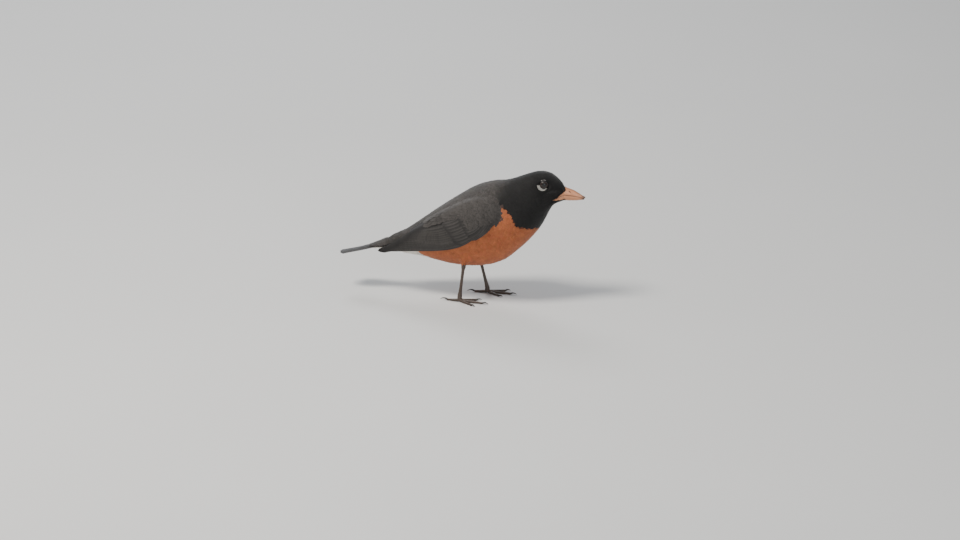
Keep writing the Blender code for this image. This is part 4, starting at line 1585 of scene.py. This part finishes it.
def make_shank(side_name, material):
    """The tarsus, from inside the feathered thigh to the foot, with plates down its front."""
    points = corners_of("shank_" + side_name)
    heights = np.unique(np.round(points[:, 2], 1))[::-1]
    rings = [points[np.abs(points[:, 2] - at) < 0.3] for at in heights]
    centres = [ring.mean(0) for ring in rings]
    radii = [np.ptp(ring[:, 0]) / 2 for ring in rings]
    above = centres[0] + (centres[0] - centres[1]) / (heights[0] - heights[1]) * SHANK_TUCK
    below = centres[-1] * np.array((1, 1, 0)) + UP * INSTEP_HEIGHT
    centres = [above] + centres + [below]
    radii = [2.2, radii[0] * 0.92] + radii[1:] + [radii[-1] * 1.02]
    stations = [centre[2] for centre in centres]
    even = np.linspace(stations[0], stations[-1], 30)
    centres = np.array(centres)[::-1]
    path = [[np.interp(z, centres[:, 2], centres[:, axis]) for axis in range(3)] for z in even]
    thick = [np.interp(z, centres[:, 2], radii[::-1]) for z in even]

    def relief(along, turn):
        front = 0.5 + 0.5 * math.cos(turn)
        step = (along * SHANK_PLATES) % 1.0
        return front * (0.10 * step**3 - 0.02) - 0.14 * abs(math.sin(turn)) ** 3

    mesh = tube_mesh("shank", path, thick, 140, 24, relief, False)
    local = points_of(mesh)
    along = (stations[0] - local[:, 2]) / (stations[0] - stations[-1])
    groove = ramp(np.abs((along * SHANK_PLATES) % 1.0 - 0.5), 0.42, 0.5)
    brown = LEG_BROWN * (1 + 0.15 * wavering(local, 2.0, 5)[:, None])
    paint_points(mesh, "scale", mixed(brown, LEG_DARK, groove * 0.7))
    made = show("shank_skin_" + side_name, mesh, material)
    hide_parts("shank_" + side_name)


def make_thigh_tuft(side_name, material):
    """Rings of small feathers that taper from the thigh down over the top of the shank."""
    ankle = ANKLES[side_name]
    share = SHORT_SHARES[:, None]
    centres, ups = [], []
    for root_z, tip_z, root_reach, tip_reach in THIGH_RINGS:
        for number in range(18):
            turn = (number + RNG.uniform(-0.3, 0.3)) * math.pi / 9
            outward = np.array((math.cos(turn), math.sin(turn), 0.0))
            root = ankle + outward * root_reach + UP * root_z
            tip = ankle + outward * tip_reach + UP * (tip_z + RNG.uniform(-0.6, 0.6))
            swell = outward * 0.3 * np.sin(share * math.pi)
            centres.append(root * (1 - share) + tip * share + swell)
            ups.append(steady(outward))
    centres = np.array(centres)
    count = len(centres)
    points = lay_vanes(BODY_VANE, centres, np.array(ups), RNG.uniform(0.75, 1.0, count), BODY_CUT)
    colours = along_vane(BODY_VANE, RUST * 0.8 * tones(count, 0.08, 0.2))
    name = "thigh_tuft_" + side_name
    show_vanes(name, BODY_VANE, points, centres[:, 0], colours, material)


def claw_line(side_name, toe, instep):
    """(base, tip) of a claw of the frame."""
    points = corners_of(f"claw_{toe}_{side_name}")
    away = np.linalg.norm((points - instep)[:, :2], axis=1)
    base = points[away < away.min() + 0.35].mean(0)
    return base, points[away.argmax()]


def make_foot(side_name, leg_material, claw_material):
    """Toes with plates on top and pads below, and their claws."""
    shank = corners_of("shank_" + side_name)
    instep = shank[shank[:, 2] < shank[:, 2].min() + 0.2].mean(0)
    joined = bmesh.new()
    for toe in TOE_NAMES:
        base, tip = claw_line(side_name, toe, instep)
        take_in(joined, make_toe(toe, instep, base))
        make_claw(side_name, toe, base, tip, claw_material)
    mesh = finished(joined, "foot")
    local = points_of(mesh)
    along = np.linalg.norm((local - instep)[:, :2], axis=1) / TOE_PLATE
    groove = ramp(np.abs(along % 1.0 - 0.5), 0.38, 0.5) * ramp(local[:, 2], 0.8, 1.4)
    brown = LEG_BROWN * (1 + 0.12 * wavering(local, 2.0, 6)[:, None])
    colour = mixed(brown, LEG_DARK, groove * 0.6)
    colour = mixed(colour, LEG_BROWN * 1.5, ramp(-local[:, 2], -0.5, -0.2))
    paint_points(mesh, "scale", colour)
    mesh.shade_smooth()
    made = show("toes_" + side_name, mesh, leg_material)
    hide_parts("foot_" + side_name)


def make_toe(toe, instep, base):
    """One toe from the instep to its claw, as a mesh."""
    share = np.linspace(0, 1, 9)
    line = instep * (1 - share[:, None]) + base * share[:, None]
    thick = np.interp(share, (0, 0.12, 0.5, 1), (1.75, 1.35, 1.12, 0.85))
    line[:, 2] = thick * np.interp(share, (0, 0.15, 1), (1.30, 1.0, 0.98))
    joints = 2 if toe == "hallux" else 3
    count = np.linalg.norm((base - instep)[:2]) / TOE_PLATE

    def relief(along, turn):
        upper = 0.5 + 0.5 * math.cos(turn)
        plate = ((along * count) % 1.0) ** 2 * 0.10 * upper
        return plate + 0.14 * (1 - upper) * math.cos(2 * math.pi * joints * along)

    return tube_mesh("toe", line, thick, 110, 22, relief)


def make_claw(side_name, toe, base, tip, material):
    """A curved claw that narrows to a point."""
    node = f"claw_{toe}_{side_name}"
    span = tip - base
    share = np.linspace(0, 1, 11)
    line = base + span * share[:, None]
    arch = (0.17 if toe == "hallux" else 0.15) * np.linalg.norm(span)
    line[:, 2] += arch * np.sin(share * math.pi) ** 0.9
    radii = 0.74 * (1 - share) ** 0.75 + 0.08
    line[:, 2] = np.maximum(line[:, 2], radii)
    line = np.vstack([base - unit(span) * 0.7, line])
    mesh = tube_mesh(node, line, [0.70, *radii], 36, 14, lambda along, turn: 0.0)
    colour = ramp(wavering(points_of(mesh), 0.8, 9), 0.2, 1.0) * 0.5
    paint_points(mesh, "horn", mixed(CLAW_HORN, CLAW_HORN * 2.2, colour))
    made = show(node + "_horn", mesh, material)
    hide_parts(node)


# Stage --------------------------------------------------------------------------------------------
FLOOR_PALE, FLOOR_PALER = (0.60, 0.595, 0.58, 1.0), (0.64, 0.635, 0.62, 1.0)
FLOOR_RADIUS = 6.0  # metres
SKY = (0.90, 0.94, 1.0, 1.0)
# Lamps: place and target in metres, width, power and colour
LAMPS = {
    "key": ((-0.55, -0.75, 1.5), (0, 0, 0.06), 0.55, 34.0, (1.0, 0.96, 0.90)),
    "front": ((1.1, -1.5, 0.7), (0, 0, 0.06), 0.9, 9.0, (0.92, 0.96, 1.0)),
    "behind": ((-0.8, 1.3, 1.1), (0, 0, 0.07), 0.7, 12.0, (0.95, 0.97, 1.0)),
}


def area_light(name, place, target, size, power, colour):
    """A round lamp at a place in metres, aimed at target."""
    data = bpy.data.lights.new(name, "AREA")
    data.shape = "DISK"
    data.size = size
    data.energy = power
    data.color = colour
    made = bpy.data.objects.new(name, data)
    made.location = place
    aim = Vector(target) - Vector(place)
    made.rotation_euler = aim.to_track_quat("-Z", "Y").to_euler()
    bpy.context.scene.collection.objects.link(made)


def make_stage():
    """A pale floor, three soft lamps and a pale blue surround."""
    bm = bmesh.new()
    bmesh.ops.create_circle(bm, cap_ends=True, segments=96, radius=FLOOR_RADIUS)
    bmesh.ops.translate(bm, vec=(0, 0, -0.02 * MM), verts=bm.verts)
    mesh = finished(bm, "floor")
    made, tree, shader = start_material("pale_floor", 0.75)
    tone = blend_colour(tree, noise(tree, 3.0), FLOOR_PALE, FLOOR_PALER)
    tree.links.new(tone, shader.inputs["Base Color"])
    mesh.materials.append(made)
    floor = bpy.data.objects.new("floor", mesh)
    bpy.context.scene.collection.objects.link(floor)
    world = bpy.data.worlds.new("surround")
    world.use_nodes = True
    background = world.node_tree.nodes["Background"]
    background.inputs["Color"].default_value = SKY
    background.inputs["Strength"].default_value = 0.50
    bpy.context.scene.world = world
    for name, lamp in LAMPS.items():
        area_light(name, *lamp)


CAMERA_AZIMUTH, CAMERA_ELEVATION = math.radians(18), math.radians(16)
CAMERA_DISTANCE = 5.0
FRAME_WIDTH = 0.816  # metres across the picture at the bird
AIM = np.array((0.0174, 0.0, 0.0247))


def make_camera():
    """A long lens from the bird's right, a little ahead of it and above."""
    data = bpy.data.cameras.new("camera")
    data.sensor_width = 36.0
    data.lens = data.sensor_width * CAMERA_DISTANCE / FRAME_WIDTH
    data.clip_end = 50.0
    made = bpy.data.objects.new("camera", data)
    level = math.cos(CAMERA_ELEVATION) * CAMERA_DISTANCE
    away = Vector(
        (
            math.sin(CAMERA_AZIMUTH) * level,
            -math.cos(CAMERA_AZIMUTH) * level,
            math.sin(CAMERA_ELEVATION) * CAMERA_DISTANCE,
        )
    )
    made.location = Vector(AIM) + away
    made.rotation_euler = (-away).to_track_quat("-Z", "Y").to_euler()
    bpy.context.scene.collection.objects.link(made)
    bpy.context.scene.camera = made


# The bird -----------------------------------------------------------------------------------------
def build():
    soft = plumage_material("body_feather", 0.78, 0.15, 34.0, 1.1, 0.03, 0.022)
    crisp = plumage_material("flight_feather", 0.58, 0.08, 150.0, 0.16, 0.09, 0.04)
    down = down_material()
    horn = painted_material("bill_horn", "horn", 0.38, 1400.0, 0.08, 0.03, Coat_Weight=0.15)
    claw = painted_material("claw_horn", "horn", 0.35, 1800.0, 0.20, 0.03)
    scale = painted_material("leg_scales", "scale", 0.5, 2600.0, 0.18, 0.05)
    eye = painted_material("wet_eye", "iris", 0.05, 900.0, 0.05, 0.0)

    body_nodes = ["trunk", "neck", "head", "thigh_left", "thigh_right", "tail"]
    body_nodes += ["eye_left", "eye_right"]
    form = Form(joined_form("form", body_nodes, 16, 0.35))
    wing_nodes = ["wing_left", "wing_right", "primaries_left", "primaries_right"]
    full_form = Form(joined_form("full_form", body_nodes + wing_nodes, 12, 0.3))
    wings = {name: Wing(name) for name in SIDES}
    make_skin(form, down)
    body_coat(form, wings, soft)
    for name, wing in wings.items():
        shoulder_coat(name, wing, full_form, soft)
        make_wing_arm(name, wing, down)
        make_wing(name, wing, form, crisp)
    make_tail(crisp)
    make_tail_coverts("upper_tail_coverts", TAIL_UP, (24, 17, 11), 4.7, RUMP, soft)
    make_tail_coverts("under_tail_coverts", -TAIL_UP, (31, 23, 15), 2.8, WHITE * 0.9, soft)
    make_mandible("bill_upper", horn)
    make_mandible("bill_lower", horn)
    make_bill_fringe(form, soft)
    make_bristles(form, soft)
    for name in SIDES:
        make_gape(name, form, horn)
        make_eyeball(name, eye)
        make_eyelids(name, scale)
        make_thigh_tuft(name, soft)
        make_shank(name, scale)
        make_foot(name, scale, claw)
    make_stage()
    make_camera()


build()
